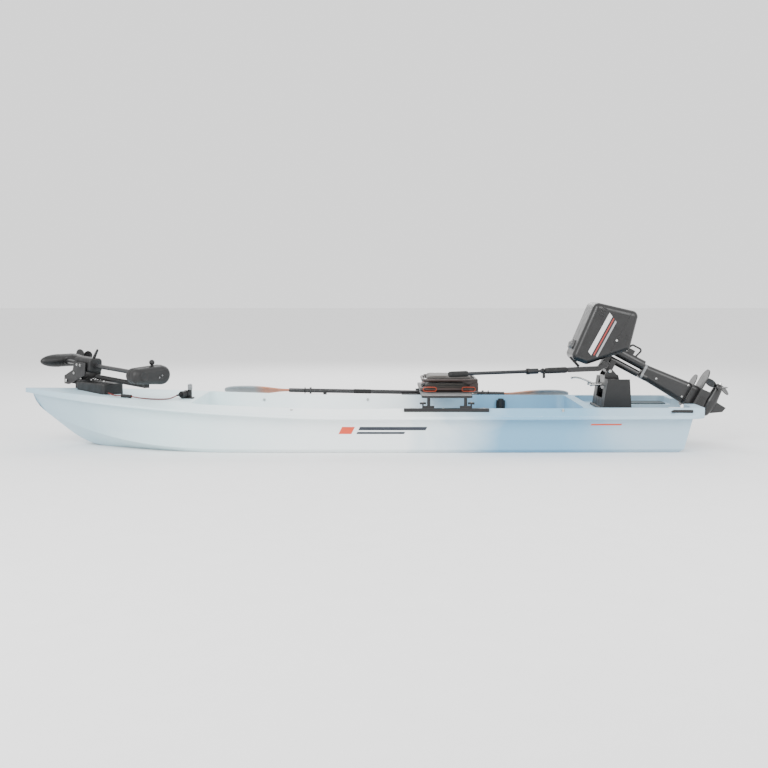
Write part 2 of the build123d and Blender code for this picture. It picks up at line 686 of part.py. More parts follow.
screw = propeller(-229.5, 32, 30, PROP_RADIUS, 78, 3, 32)
outboard_propeller = screw.moved(Location((0, 0, -SHAFT_DEPTH)))
save(tilted(outboard_propeller), "outboard_propeller")

with BuildPart() as starter_handle:
    grip = Plane(origin=(26, 34, 214), z_dir=(1, 0, 0.35))
    with BuildSketch(grip):
        Circle(9)
    extrude(amount=26)
    with BuildSketch(grip.offset(20)):
        SlotOverall(86, 20)
    extrude(amount=16)
    add(cowl_outside, mode=Mode.SUBTRACT)
save(tilted(starter_handle.part), "starter_handle")

with BuildPart() as shift_lever:
    with Locations((-120, -COWL_HALF - 3, 34)):
        Box(40, 18, 26)
    with BuildSketch(Plane.XZ.offset(COWL_HALF + 5)):
        with Locations((-90, 42)):
            SlotOverall(92, 16, rotation=20)
    extrude(amount=10)
    add(cowl_outside, mode=Mode.SUBTRACT)
save(tilted(shift_lever.part), "shift_lever")

with BuildPart() as rear_handle:
    with BuildLine():
        bow = Polyline((-160, 0, -118), (-222, 0, -136), (-222, 0, -64), (-192, 0, -50))
        fillet(bow.vertices(), 14)
    with BuildSketch(Plane(origin=bow @ 0, z_dir=bow % 0)):
        Circle(6)
    sweep()
    add(driveshaft_housing.part, mode=Mode.SUBTRACT)
save(tilted(rear_handle.part), "rear_handle")

# ---------------------------------------------------------------- tiller and its extension
# Drawn along x from the hinge, then set down at the hinge with its droop.
def on_tiller(piece):
    return piece.moved(Location(TILLER_HINGE, (0, TILLER_DROOP, 0)))


TILLER_ARM_LENGTH = 205.0
with BuildPart() as tiller_arm:
    with BuildSketch(Plane.XZ.offset(-TILLER_EYE_WIDTH / 2)):
        Circle(TILLER_EYE_R)
    extrude(amount=TILLER_EYE_WIDTH)
    with Locations((TILLER_ARM_LENGTH / 2 + 4, 0, 0)):
        Box(TILLER_ARM_LENGTH - 8, 32, 31)
    fillet(tiller_arm.faces().sort_by(Axis.X)[-1].edges(), 8)
    with BuildSketch(Plane.XZ.offset(-TILLER_EYE_WIDTH)):
        Circle(TILLER_PIN_R + RUNNING_FIT)
    extrude(amount=2 * TILLER_EYE_WIDTH, mode=Mode.SUBTRACT)
save(on_tiller(tiller_arm.part), "tiller_arm")

with BuildPart() as throttle_grip:
    with BuildSketch(Plane.YZ.offset(TILLER_ARM_LENGTH)):
        Circle(GRIP_R)
    extrude(amount=TILLER_LENGTH - 19 - TILLER_ARM_LENGTH)
    chamfer(throttle_grip.faces().filter_by(Axis.X).edges(), 3)
save(on_tiller(throttle_grip.part), "throttle_grip")

with BuildPart() as tiller_joint:
    with Locations((TILLER_LENGTH, 0, 0)):
        Sphere(BALL_R + 5)
    with BuildSketch(Plane.XY.offset(-46)):
        with Locations((TILLER_LENGTH - 8, 0)):
            Circle(12)
    extrude(amount=34)
    with Locations((TILLER_LENGTH, 0, 0)):
        Sphere(BALL_R + 0.4, mode=Mode.SUBTRACT)
    with Locations((TILLER_LENGTH - 4 + 50, 0, 0)):
        Box(100, 100, 100, mode=Mode.SUBTRACT)
    add(throttle_grip.part, mode=Mode.SUBTRACT)
save(on_tiller(tiller_joint.part), "tiller_joint")

turn = radians(TILLER_DROOP)
ball_centre = Vector(TILLER_HINGE[0] + TILLER_LENGTH * cos(turn), TILLER_Y,
                     TILLER_HINGE[2] - TILLER_LENGTH * sin(turn))
swing = radians(EXTENSION_SWING)
extension_line = Plane(origin=ball_centre, x_dir=(-sin(swing), cos(swing), 0),
                       z_dir=(cos(swing), sin(swing), 0))
with BuildPart() as extension_tube:
    with Locations(extension_line.location):
        Sphere(BALL_R)
    with BuildSketch(extension_line):
        Circle(8)
    extrude(amount=60)
    with BuildSketch(extension_line.offset(34)):
        Circle(18)
    extrude(amount=80)
    with BuildSketch(extension_line.offset(100)):
        Circle(EXTENSION_R)
    extrude(amount=EXTENSION_LENGTH - 100 - 130)
save(extension_tube.part, "extension_tube")

with BuildPart() as extension_grip:
    with BuildSketch(extension_line.offset(EXTENSION_LENGTH - 130)):
        Circle(17)
    extrude(amount=130)
    fillet(extension_grip.faces().sort_by(Axis.X)[-1].edges(), 8)
save(extension_grip.part, "extension_grip")

# ---------------------------------------------------------------- bench on its rails
with BuildPart() as bench_platform:
    with BuildSketch(Plane.XY.offset(BENCH_TOP - BENCH_THICKNESS)):
        with Locations((BENCH_X, 0)):
            RectangleRounded(BENCH_LENGTH, 2 * RAIL_Y + RAIL_WIDTH, 20)
    extrude(amount=BENCH_THICKNESS)
save(bench_platform.part, "bench_platform")

post_xs = [BENCH_X - POST_SPREAD / 2, BENCH_X + POST_SPREAD / 2]
FOOT_BASE = RAIL_TOP + SLIDE_GAP
with BuildPart() as bench_posts:
    for x in post_xs:
        for y in both_sides(RAIL_Y):
            with BuildSketch(Plane.XY.offset(FOOT_BASE)):
                with Locations((x, y)):
                    RectangleRounded(70, RAIL_WIDTH, 6)
            extrude(amount=14)
            with BuildSketch(Plane.XY.offset(FOOT_BASE)):
                with Locations((x, y)):
                    Circle(10)
            extrude(amount=BENCH_TOP - BENCH_THICKNESS - FOOT_BASE)
save(bench_posts.part, "bench_posts")

with BuildPart() as bench_knobs:
    for x in (post_xs[0] - 35, post_xs[1] + 35):
        for y in both_sides(RAIL_Y):
            with BuildSketch(Plane.XY.offset(FOOT_BASE)):
                with Locations((x, y)):
                    Circle(5)
            extrude(amount=26)
            with BuildSketch(Plane.XY.offset(FOOT_BASE + 24)):
                with Locations((x, y)):
                    SlotOverall(40, 13)
            extrude(amount=12)
    add(bench_posts.part, mode=Mode.SUBTRACT)
save(bench_knobs.part, "bench_knobs")

# ---------------------------------------------------------------- folding seat on the bench
SEAT_FRAME_Z = BENCH_TOP + SEAT_TUBE_R
SEAT_FRONT = SEAT_X + SEAT_LENGTH / 2
SEAT_REAR = SEAT_X - SEAT_LENGTH / 2
BACK_HINGE_X = SEAT_REAR + SEAT_TUBE_R
BACK_HINGE_Z = BENCH_TOP + 42.0
BACK_Z = BENCH_TOP + 68.0
CUSHION_GAP = 0.5


def tube_loop(height, half, front, rear, radius, corner):
    """Closed loop of tube round a rectangle in plan."""
    side = half - radius
    with BuildPart() as loop:
        with BuildLine(Plane.XY.offset(height)):
            FilletPolyline((front - radius, side), (front - radius, -side), (rear + radius, -side),
                           (rear + radius, side), radius=corner, close=True)
        with BuildSketch(Plane(origin=((front + rear) / 2, side, height), z_dir=(1, 0, 0))):
            Circle(radius)
        sweep()
    return loop.part


seat_ear = [(BACK_HINGE_X - 12, BENCH_TOP), (BACK_HINGE_X + 90, BENCH_TOP),
            (BACK_HINGE_X + 90, BENCH_TOP + SEAT_TUBE_R), (BACK_HINGE_X + 12, BACK_HINGE_Z + 12),
            (BACK_HINGE_X - 12, BACK_HINGE_Z + 12)]
back_ear = [(BACK_HINGE_X - 10, BACK_HINGE_Z - 10), (BACK_HINGE_X + 10, BACK_HINGE_Z - 10),
            (BACK_HINGE_X + 90, BACK_Z - 8), (BACK_HINGE_X + 90, BACK_Z + 8), (BACK_HINGE_X - 10, BACK_Z + 8)]
with BuildPart() as seat_frame:
    add(tube_loop(SEAT_FRAME_Z, SEAT_HALF, SEAT_FRONT, SEAT_REAR, SEAT_TUBE_R, 50))
    for side in (1, -1):
        extrude(side_profile(seat_ear, side * (BACK_HALF + 5)), amount=-side * 5)
        with BuildSketch(Plane.XZ.offset(-side * (BACK_HALF + 8))):
            with Locations((BACK_HINGE_X, BACK_HINGE_Z)):
                Circle(4)
        extrude(amount=side * 18)
    with BuildSketch(Plane.XY):
        Rectangle(3 * LENGTH, BEAM)
    extrude(amount=BENCH_TOP, mode=Mode.SUBTRACT)
save(seat_frame.part, "seat_frame")

with BuildPart() as seat_cushion:
    inner = SEAT_HALF - 2 * SEAT_TUBE_R - CUSHION_GAP
    with BuildSketch(Plane.XY.offset(BENCH_TOP)):
        with Locations((SEAT_X, 0)):
            RectangleRounded(SEAT_LENGTH - 4 * SEAT_TUBE_R - 2 * CUSHION_GAP, 2 * inner, 42)
    extrude(amount=46)
    fillet(seat_cushion.faces().sort_by(Axis.Z)[-1].edges(), 12)
save(seat_cushion.part, "seat_cushion")

with BuildPart() as back_frame:
    add(tube_loop(BACK_Z, BACK_HALF, SEAT_FRONT - 10, SEAT_REAR, BACK_TUBE_R, 45))
    for side in (1, -1):
        extrude(side_profile(back_ear, side * (BACK_HALF - 2)), amount=side * 5)
        with BuildSketch(Plane.XZ.offset(-side * (BACK_HALF + 1))):
            with Locations((BACK_HINGE_X, BACK_HINGE_Z)):
                Circle(4 + RUNNING_FIT)
        extrude(amount=side * 12, mode=Mode.SUBTRACT)
save(back_frame.part, "back_frame")

with BuildPart() as back_cushion:
    inner = BACK_HALF - 2 * BACK_TUBE_R - CUSHION_GAP
    with BuildSketch(Plane.XY.offset(BACK_Z - 14)):
        with Locations((SEAT_X - 5, 0)):
            RectangleRounded(SEAT_LENGTH - 10 - 4 * BACK_TUBE_R - 2 * CUSHION_GAP, 2 * inner, 38)
    extrude(amount=38)
    fillet(back_cushion.faces().sort_by(Axis.Z)[-1].edges(), 12)
    fillet(back_cushion.faces().sort_by(Axis.Z)[0].edges(), 6)
save(back_cushion.part, "back_cushion")

# ---------------------------------------------------------------- trolling motor, drawn deployed
# z runs up the shaft from the middle of the motor, x towards its nose and y towards the hull's
# deck once the shaft is laid down. Then it is laid across the bow.
lie = radians(STOW_ANGLE)
droop = radians(STOW_DROOP)
SHAFT_DIR = Vector(-cos(droop) * sin(lie), cos(droop) * cos(lie), -sin(droop))
NOSE_DIR = Vector(cos(lie), sin(lie), 0)
DECK_DIR = SHAFT_DIR.cross(NOSE_DIR)
TORPEDO_CENTRE = (Vector(*DEPLOY_HINGE) - SHAFT_DIR * TORPEDO_TO_HINGE - DECK_DIR * SHAFT_OVER_HINGE)
stow = Plane(origin=TORPEDO_CENTRE, x_dir=NOSE_DIR, z_dir=SHAFT_DIR)


def stowed(piece):
    return piece.moved(stow.location)


with BuildPart() as trolling_motor:
    with BuildSketch(Plane.XZ):
        with BuildLine():
            tail = ThreePointArc((-142, 27), (-104, 39), (-60, TORPEDO_R))
            flank = Line(tail @ 1, (TORPEDO_NOSE, TORPEDO_R))
            nose = EllipticalCenterArc((TORPEDO_NOSE, 0), 165 - TORPEDO_NOSE, TORPEDO_R, 0, 90,
                                       angular_direction=AngularDirection.COUNTER_CLOCKWISE)
            Line(nose @ 0, (-142, 0))
            Line((-142, 0), tail @ 0)
        make_face()
    revolve(axis=Axis.X)
    with BuildSketch(Plane.XY):
        Circle(22)
    extrude(amount=64)
save(stowed(trolling_motor.part), "trolling_motor")

with BuildPart() as trolling_shaft:
    with BuildSketch(Plane.XY.offset(64)):
        Circle(SHAFT_R)
    extrude(amount=SHAFT_LENGTH - 64)
save(stowed(trolling_shaft.part), "trolling_shaft")

trolling_screw = propeller(-143.5, 40, 26, TROLLING_PROP_R, 60, 3, 28)
save(stowed(trolling_screw), "trolling_propeller")

with BuildPart() as trolling_head:
    with BuildSketch(Plane.XY.offset(HEAD_START)):
        with Locations((-72, 0)):
            Circle(60)
        with Locations((96, 0)):
            Circle(48)
        make_hull()
    extrude(amount=HEAD_THICKNESS)
    fillet(trolling_head.faces().filter_by(Axis.Z).edges(), 32)
    with BuildSketch(Plane.XY.offset(HEAD_START - 34)):
        Circle(24)
    extrude(amount=60)
    with BuildSketch(Plane.XY.offset(HEAD_START - 6)):
        with Locations((0, COIL_DROP - 8)):
            Rectangle(2 * COIL_R, 2 * COIL_R + 8)
    extrude(amount=40)
    with BuildSketch(Plane.XY.offset(HEAD_START - 40)):
        Circle(SHAFT_R + RUNNING_FIT)
    extrude(amount=SHAFT_LENGTH - HEAD_START + 41, mode=Mode.SUBTRACT)
save(stowed(trolling_head.part), "trolling_head")

with BuildPart() as head_knob:
    knob = Plane(origin=(-20, -58, HEAD_START + 55), z_dir=(0, -1, 0))
    with BuildSketch(knob.offset(-10)):
        Circle(9)
    extrude(amount=24)
    with Locations((-20, -58 - 20, HEAD_START + 55)):
        Sphere(17)
    add(trolling_head.part, mode=Mode.SUBTRACT)
save(stowed(head_knob.part), "head_knob")

with BuildPart() as depth_collar:
    with BuildSketch(Plane.XY.offset(HEAD_START - 64)):
        Circle(27)
        Circle(SHAFT_R + RUNNING_FIT, mode=Mode.SUBTRACT)
    extrude(amount=30)
save(stowed(depth_collar.part), "depth_collar")

with BuildPart() as coil_cord:
    with BuildSketch(Plane.XY.offset(HOUSING_END + 6)):
        with Locations((0, COIL_DROP)):
            Circle(COIL_R)
    extrude(amount=HEAD_START - 6 - HOUSING_END - 6)
save(stowed(coil_cord.part), "coil_cord")

with BuildPart() as steering_housing:
    with BuildSketch(Plane.XY.offset(HOUSING_START)):
        with Locations((0, -2)):
            RectangleRounded(96, 2 * HOUSING_LOW + 4, 24)
    extrude(amount=HOUSING_END - HOUSING_START)
    fillet(steering_housing.faces().filter_by(Axis.Z).edges(), 10)
    with BuildSketch(Plane.XY.offset(HOUSING_START - 1)):
        Circle(SHAFT_R + RUNNING_FIT)
    extrude(amount=HOUSING_END - HOUSING_START + 2, mode=Mode.SUBTRACT)
    with BuildSketch(Plane.YZ.offset(-100)):
        with Locations((28, (HOUSING_START + HOUSING_END) / 2 + 30)):
            SlotOverall(60, 16, rotation=90)
    extrude(amount=200, mode=Mode.SUBTRACT)
save(stowed(steering_housing.part), "steering_housing")

with BuildPart() as trolling_arms:
    for side in (1, -1):
        arm = [(-20, HOUSING_START + 25), (40, HOUSING_START + 5), (SHAFT_OVER_HINGE - 30, 128),
               (SHAFT_OVER_HINGE + 24, 128), (SHAFT_OVER_HINGE + 24, 182), (64, HOUSING_END - 40),
               (-20, HOUSING_END - 30)]
        with BuildSketch(Plane.YZ.offset(side * ARM_INNER)):
            with BuildLine():
                Polyline(*arm, close=True)
            make_face()
            with Locations((SHAFT_OVER_HINGE, TORPEDO_TO_HINGE)):
                Circle(8 + RUNNING_FIT, mode=Mode.SUBTRACT)
        extrude(amount=side * ARM_PLATE)
        with BuildSketch(Plane.YZ.offset(side * (ARM_INNER - 5))):
            with Locations((0, (HOUSING_START + HOUSING_END) / 2)):
                RectangleRounded(30, 100, 10)
        extrude(amount=side * 5)
    add(steering_housing.part, mode=Mode.SUBTRACT)
save(stowed(trolling_arms.part), "trolling_arms")

with BuildPart() as release_lever:
    with BuildSketch(Plane.YZ.offset(-5)):
        with BuildLine():
            Polyline((-44, 395), (-44, 410), (-104, 452), (-112, 444), (-62, 398), close=True)
        make_face()
    extrude(amount=10)
    add(steering_housing.part, mode=Mode.SUBTRACT)
save(stowed(release_lever.part), "release_lever")

# ---------------------------------------------------------------- trolling motor's deck mount
hinge = Vector(*DEPLOY_HINGE)
AFT_PORT = Vector(SHAFT_DIR.X, SHAFT_DIR.Y, 0).normalized()
BASE_TOP = DEPLOY_HINGE[2] + 5
BASE_HALF = 80.0
BASE_START = 150.0          # wide part of the mount, from the hinge
BASE_END = 486.0
BARREL_R = 20.0
BASE_BOTTOM = DEPTH + 46.0  # inside the deck, which trims it
base_plane = Plane(origin=(hinge.X, hinge.Y, 0), x_dir=AFT_PORT, z_dir=(0, 0, 1))
with BuildPart() as trolling_base:
    with BuildSketch(base_plane.offset(BASE_BOTTOM)):
        with Locations(((BASE_START + BASE_END) / 2, 0)):
            RectangleRounded(BASE_END - BASE_START, 2 * BASE_HALF, 28)
    extrude(amount=BASE_TOP - BASE_BOTTOM)
    fillet(trolling_base.faces().sort_by(Axis.Z)[-1].edges(), 10)
    with BuildSketch(base_plane.offset(hinge.Z - BARREL_R)):
        with Locations((BASE_START / 2, 0)):
            Rectangle(BASE_START + 40, 80)
    extrude(amount=BARREL_R + 3)
    with BuildSketch(base_plane.offset(BASE_BOTTOM)):
        with Locations((BASE_START - 24, 0)):
            RectangleRounded(110, 80, 10)
    extrude(amount=hinge.Z - BASE_BOTTOM)
    with BuildSketch(Plane(origin=hinge - NOSE_DIR * 44, z_dir=NOSE_DIR)):
        Circle(BARREL_R)
    extrude(amount=88)
    with BuildSketch(Plane(origin=hinge - NOSE_DIR * (ARM_INNER + ARM_PLATE + 3), z_dir=NOSE_DIR)):
        Circle(8)
    extrude(amount=2 * (ARM_INNER + ARM_PLATE + 3))
    add(hull.part, mode=Mode.SUBTRACT)
save(trolling_base.part, "trolling_base")

# ---------------------------------------------------------------- power lead on the foredeck
def on_deck(points):
    """Points (x behind the bow tip, y, height over the deck)."""
    return [Vector(BOW_X - x, y, gunwale_top(BOW_X - x) + height) for x, y, height in points]


def corner_radii(points, name):
    """Largest even arcs that a route's runs allow."""
    radii = []
    for before, corner, after in zip(points, points[1:], points[2:]):
        run_in = corner - before
        run_out = after - corner
        half_turn = radians(run_in.get_angle(run_out) / 2)
        radii.append(0.45 * min(run_in.length, run_out.length) / tan(half_turn))
    print(name, "radii", [round(r) for r in radii])
    return radii


def tube_along(points, radius, name):
    with BuildPart() as tube:
        with BuildLine() as route:
            FilletPolyline(*points, radius=corner_radii(points, name))
        with BuildSketch(Plane(origin=points[0], z_dir=points[1] - points[0])):
            Circle(radius)
        sweep()
    run = sum(edge.length for edge in route.edges())
    print(name, "length", round(run, 1), "volume ratio", tube.part.volume / (pi * radius**2 * run))
    return tube.part


fore_route = on_deck([(561, 139, 16), (590, 172, 12), (619, 202, 7), (648, 226, 7), (682, 240, 11)])
aft_route = on_deck([(747, 260, 11), (798, 275, 5.5), (858, 284, 4.1), (914, 280, 4.1), (960, 258, 4.1),
                     (988, 234, 7), (1010, 206, 17), (1022, 188, 24), (1034, 170, 26)])
save(tube_along(fore_route, LEAD_R, "power_lead_fore"), "power_lead_fore")
save(tube_along(aft_route, LEAD_R, "power_lead_aft"), "power_lead_aft")

with BuildPart() as lead_connector:
    with BuildSketch(Plane(origin=fore_route[-1], z_dir=aft_route[0] - fore_route[-1])):
        RectangleRounded(24, 20, 6)
    extrude(amount=(aft_route[0] - fore_route[-1]).length)
save(lead_connector.part, "lead_connector")

plug_dir = (aft_route[-1] - aft_route[-2])
plug_dir = Vector(plug_dir.X, plug_dir.Y, 0).normalized()
PLUG_LENGTH = 52.0
with BuildPart() as power_plug:
    with BuildSketch(Plane(origin=aft_route[-1], z_dir=plug_dir)):
        Circle(12)
    extrude(amount=PLUG_LENGTH)
    with BuildSketch(Plane(origin=aft_route[-1] + plug_dir * 12, z_dir=plug_dir)):
        Circle(22)
    extrude(amount=PLUG_LENGTH - 12)
    chamfer(power_plug.edges().filter_by(GeomType.CIRCLE).group_by(SortBy.RADIUS)[-1], 3)
save(power_plug.part, "power_plug")

socket_centre = aft_route[-1] + plug_dir * (PLUG_LENGTH + 22)
with BuildPart() as power_socket:
    with BuildSketch(Plane.XY.offset(DEPTH)):
        with Locations((socket_centre.X, socket_centre.Y)):
            RectangleRounded(80, 60, 14)
    extrude(amount=gunwale_top(socket_centre.X) + 6 - DEPTH)
    with BuildSketch(Plane(origin=aft_route[-1] + plug_dir * PLUG_LENGTH, z_dir=plug_dir)):
        Circle(25)
    extrude(amount=34)
    with BuildSketch(Plane.XY.offset(DEPTH)):
        with Locations((socket_centre.X - 16, socket_centre.Y)):
            RectangleRounded(20, 34, 8)
    extrude(amount=gunwale_top(socket_centre.X) + 56 - DEPTH)
    add(hull.part, mode=Mode.SUBTRACT)
save(power_socket.part, "power_socket")

with BuildPart() as socket_cap:
    with BuildSketch(Plane.XY.offset(gunwale_top(socket_centre.X) + 56)):
        with Locations((socket_centre.X - 16, socket_centre.Y)):
            RectangleRounded(26, 44, 11)
    extrude(amount=36)
    fillet(socket_cap.faces().sort_by(Axis.Z)[-1].edges(), 8)
save(socket_cap.part, "socket_cap")
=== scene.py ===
import json
import math

import bmesh
import bpy
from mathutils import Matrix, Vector


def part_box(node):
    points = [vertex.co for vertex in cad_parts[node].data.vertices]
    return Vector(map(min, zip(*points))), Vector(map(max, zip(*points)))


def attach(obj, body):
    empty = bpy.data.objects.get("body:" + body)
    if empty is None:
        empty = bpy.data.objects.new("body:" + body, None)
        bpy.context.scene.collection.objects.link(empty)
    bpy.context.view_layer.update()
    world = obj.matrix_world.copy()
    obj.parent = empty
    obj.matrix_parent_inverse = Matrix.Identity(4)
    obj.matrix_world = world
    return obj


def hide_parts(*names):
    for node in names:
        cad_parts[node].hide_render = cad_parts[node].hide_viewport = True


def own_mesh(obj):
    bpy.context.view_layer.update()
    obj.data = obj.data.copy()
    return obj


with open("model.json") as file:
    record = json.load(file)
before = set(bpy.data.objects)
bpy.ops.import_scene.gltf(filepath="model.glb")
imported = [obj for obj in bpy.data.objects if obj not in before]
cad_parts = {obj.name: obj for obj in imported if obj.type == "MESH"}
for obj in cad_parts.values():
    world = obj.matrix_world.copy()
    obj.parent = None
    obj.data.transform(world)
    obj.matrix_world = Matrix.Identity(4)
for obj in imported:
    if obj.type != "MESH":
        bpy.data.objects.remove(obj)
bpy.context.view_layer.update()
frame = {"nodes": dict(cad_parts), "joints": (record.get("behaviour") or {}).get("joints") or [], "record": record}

# Looks of a power skiff: a moulded plastic hull, a folding seat on a sliding bench, a tilted
# outboard, a paddle in clips and a trolling motor stowed across the bow. Metres. +X is the bow,
# +Y is port and +Z is up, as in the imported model.

nodes = frame["nodes"]
joints = {joint["name"]: joint for joint in frame["joints"]}
scene = bpy.context.scene

# ---------------------------------------------------------------- places taken from the frame
TILT_PIVOT = Vector(joints["outboard_tilt"]["pos_m"])
MOTOR_UP = Vector(joints["outboard_steer"]["axis"]).normalized()
MOTOR_FORE = Vector((MOTOR_UP.z, 0, -MOTOR_UP.x))
PORT = Vector((0, 1, 0))
UP = Vector((0, 0, 1))

STOWED_MOTOR = Vector(joints["trolling_steer"]["pos_m"])
SHAFT_DIR = Vector(joints["trolling_steer"]["axis"]).normalized()
NOSE_DIR = Vector(joints["trolling_propeller_spin"]["axis"]).normalized()
DECK_DIR = SHAFT_DIR.cross(NOSE_DIR)

EXTENSION_BALL = Vector(joints["extension_swivel"]["pos_m"])
EXTENSION_SWING = math.radians(23.3)
EXTENSION_DIR = Vector((math.cos(EXTENSION_SWING), math.sin(EXTENSION_SWING), 0))
EXTENSION_LENGTH = 0.672
TILLER_HINGE = Vector(joints["tiller_fold"]["pos_m"])
TILLER_DIR = (EXTENSION_BALL - TILLER_HINGE).normalized()
BOW_X = 2.160


def on_motor(x, y, z):
    """Point in the upright outboard's own directions, from its tilt pivot."""
    return TILT_PIVOT + MOTOR_FORE * x + PORT * y + MOTOR_UP * z


def on_shaft(x, y, z):
    """Point in the trolling motor's own directions: nose, deck side, and up its shaft."""
    return STOWED_MOTOR + NOSE_DIR * x + DECK_DIR * y + SHAFT_DIR * z


# ---------------------------------------------------------------- camera
camera_data = bpy.data.cameras.new("camera")
camera_data.lens = 50.5
camera = bpy.data.objects.new("camera", camera_data)
scene.collection.objects.link(camera)
camera.location = (-0.177, 7.0, 1.042)
camera.rotation_euler = (math.radians(90 - 5.3), 0, math.radians(180))
scene.camera = camera

# ---------------------------------------------------------------- cords
DECK_Z = 0.280
SHEER_START = 0.150
SHEER_LENGTH = 1.967
SHEER_RISE = 0.086
LEAD_DIAMETER = 0.0075
COIL_WIRE = 0.006
COIL_PITCH = 0.0098
COIL_RADIUS = 0.0133        # to the middle of the wire
COIL_DROP = 0.070           # coil's axis from the shaft's
COIL_START = 0.434          # up the shaft
COIL_END = 0.982
POINTS_A_TURN = 12


def on_deck(points):
    """Points (behind the bow tip, to port, over the foredeck)."""
    places = []
    for behind, port, height in points:
        x = BOW_X - behind
        deck = DECK_Z + SHEER_RISE * ((x - SHEER_START) / SHEER_LENGTH) ** 1.35
        places.append(Vector((x, port, deck + height)))
    return places


def smooth_curve(name, points, radius):
    """Open curve drawn smoothly between points, as thick as a cord."""
    data = bpy.data.curves.new(name, "CURVE")
    data.dimensions = "3D"
    data.bevel_depth = radius
    data.bevel_resolution = 4
    data.use_fill_caps = True
    spline = data.splines.new("NURBS")
    spline.points.add(len(points) - 1)
    for point, place in zip(spline.points, points):
        point.co = (*place, 1)
    spline.order_u = 3
    spline.use_endpoint_u = True
    spline.resolution_u = 10
    curve = bpy.data.objects.new(name, data)
    scene.collection.objects.link(curve)
    return curve


def line_of(curve):
    """Points along a curve's middle line."""
    bare = bpy.data.objects.new("bare", curve.data.copy())
    bare.data.bevel_depth = 0
    scene.collection.objects.link(bare)
    line = bpy.data.meshes.new_from_object(bare.evaluated_get(bpy.context.evaluated_depsgraph_get()))
    places = [v.co.copy() for v in line.vertices]
    bpy.data.meshes.remove(line)
    bpy.data.objects.remove(bare)
    return places


def length_of(places):
    return sum((b - a).length for a, b in zip(places, places[1:]))


fore_route = on_deck([(0.561, 0.139, 0.016), (0.590, 0.172, 0.012), (0.619, 0.202, 0.007),
                      (0.648, 0.226, 0.007), (0.682, 0.240, 0.011)])
aft_route = on_deck([(0.747, 0.260, 0.011), (0.798, 0.275, 0.0055), (0.858, 0.284, 0.0041),
                     (0.914, 0.280, 0.0041), (0.960, 0.258, 0.0041), (0.988, 0.234, 0.007),
                     (1.010, 0.206, 0.017), (1.022, 0.188, 0.024), (1.034, 0.170, 0.026)])
fore_lead = smooth_curve("fore_lead", fore_route, LEAD_DIAMETER / 2)
aft_lead = smooth_curve("aft_lead", aft_route, LEAD_DIAMETER / 2)


def coil_points():
    """A helix beside the shaft, drawn in to its own axis at both ends."""
    turns = (COIL_END - COIL_START) / COIL_PITCH
    count = int(turns * POINTS_A_TURN)
    outer = COIL_RADIUS / math.cos(math.pi / POINTS_A_TURN)
    points = []
    for i in range(count + 1):
        from_end = min(i, count - i) / POINTS_A_TURN
        radius = outer * min(1.0, from_end)
        turn = 2 * math.pi * i / POINTS_A_TURN
        along = COIL_START + (COIL_END - COIL_START) * i / count
        points.append(on_shaft(radius * math.cos(turn), COIL_DROP + radius * math.sin(turn), along))
    return points


coil_curve = smooth_curve("coil_curve", coil_points(), COIL_WIRE / 2)
coil_curve.data.bevel_resolution = 1
coil_curve.data.splines[0].resolution_u = 2
bpy.context.view_layer.update()
coil_line = line_of(coil_curve)
bpy.context.view_layer.update()
coil_mesh = bpy.data.meshes.new_from_object(coil_curve.evaluated_get(bpy.context.evaluated_depsgraph_get()))
coiled_lead = bpy.data.objects.new("coiled_lead", coil_mesh)
scene.collection.objects.link(coiled_lead)
bpy.data.objects.remove(coil_curve)


# ---------------------------------------------------------------- materials
def tint(red, green, blue):
    """Linear colour from the everyday 0 to 255 scale."""
    linear = [(c / 255 / 12.92) if c < 10 else ((c / 255 + 0.055) / 1.055) ** 2.4 for c in (red, green, blue)]
    return (*linear, 1.0)


def add(tree, kind, inputs=(), **settings):
    """Shader node with its settings, and inputs given as values or as sockets to link."""
    made = tree.nodes.new("ShaderNode" + kind)
    for key, value in settings.items():
        setattr(made, key, value)
    for key, value in dict(inputs).items():
        if isinstance(value, bpy.types.NodeSocket):
            tree.links.new(value, made.inputs[key])
        else:
            made.inputs[key].default_value = value
    return made


def math_node(tree, operation, first, second=0.0, clamp=False):
    return add(tree, "Math", {0: first, 1: second}, operation=operation, use_clamp=clamp).outputs[0]


def blended(tree, factor, first, second):
    """Colour between two, by a factor."""
    mix = add(tree, "Mix", {0: factor, 6: first, 7: second}, data_type="RGBA")
    return mix.outputs[2]


def ramp(tree, factor, stops):
    """Colour ramp through (place, colour) stops."""
    made = add(tree, "ValToRGB", {0: factor})
    ends = made.color_ramp.elements
    ends[0].position, ends[0].color = stops[0]
    ends[1].position, ends[1].color = stops[-1]
    for place, color in stops[1:-1]:
        ends.new(place).color = color
    return made.outputs[0]


def within(tree, value, low, high, soft=0.0006):
    """1 where value lies between low and high, with slightly soft edges."""
    above = add(tree, "MapRange", {0: value, 1: low - soft, 2: low + soft}).outputs[0]
    below = add(tree, "MapRange", {0: value, 1: high - soft, 2: high + soft, 3: 1.0, 4: 0.0}).outputs[0]
    return math_node(tree, "MULTIPLY", above, below)


def along(tree, place, origin, direction):
    """Distance of the shaded point from origin, along direction."""
    dot = add(tree, "VectorMath", {0: place, 1: direction}, operation="DOT_PRODUCT").outputs["Value"]
    return math_node(tree, "SUBTRACT", dot, Vector(origin).dot(Vector(direction)))


def shaded(color, factor):
    return (*[min(1.0, c * factor) for c in color[:3]], 1.0)


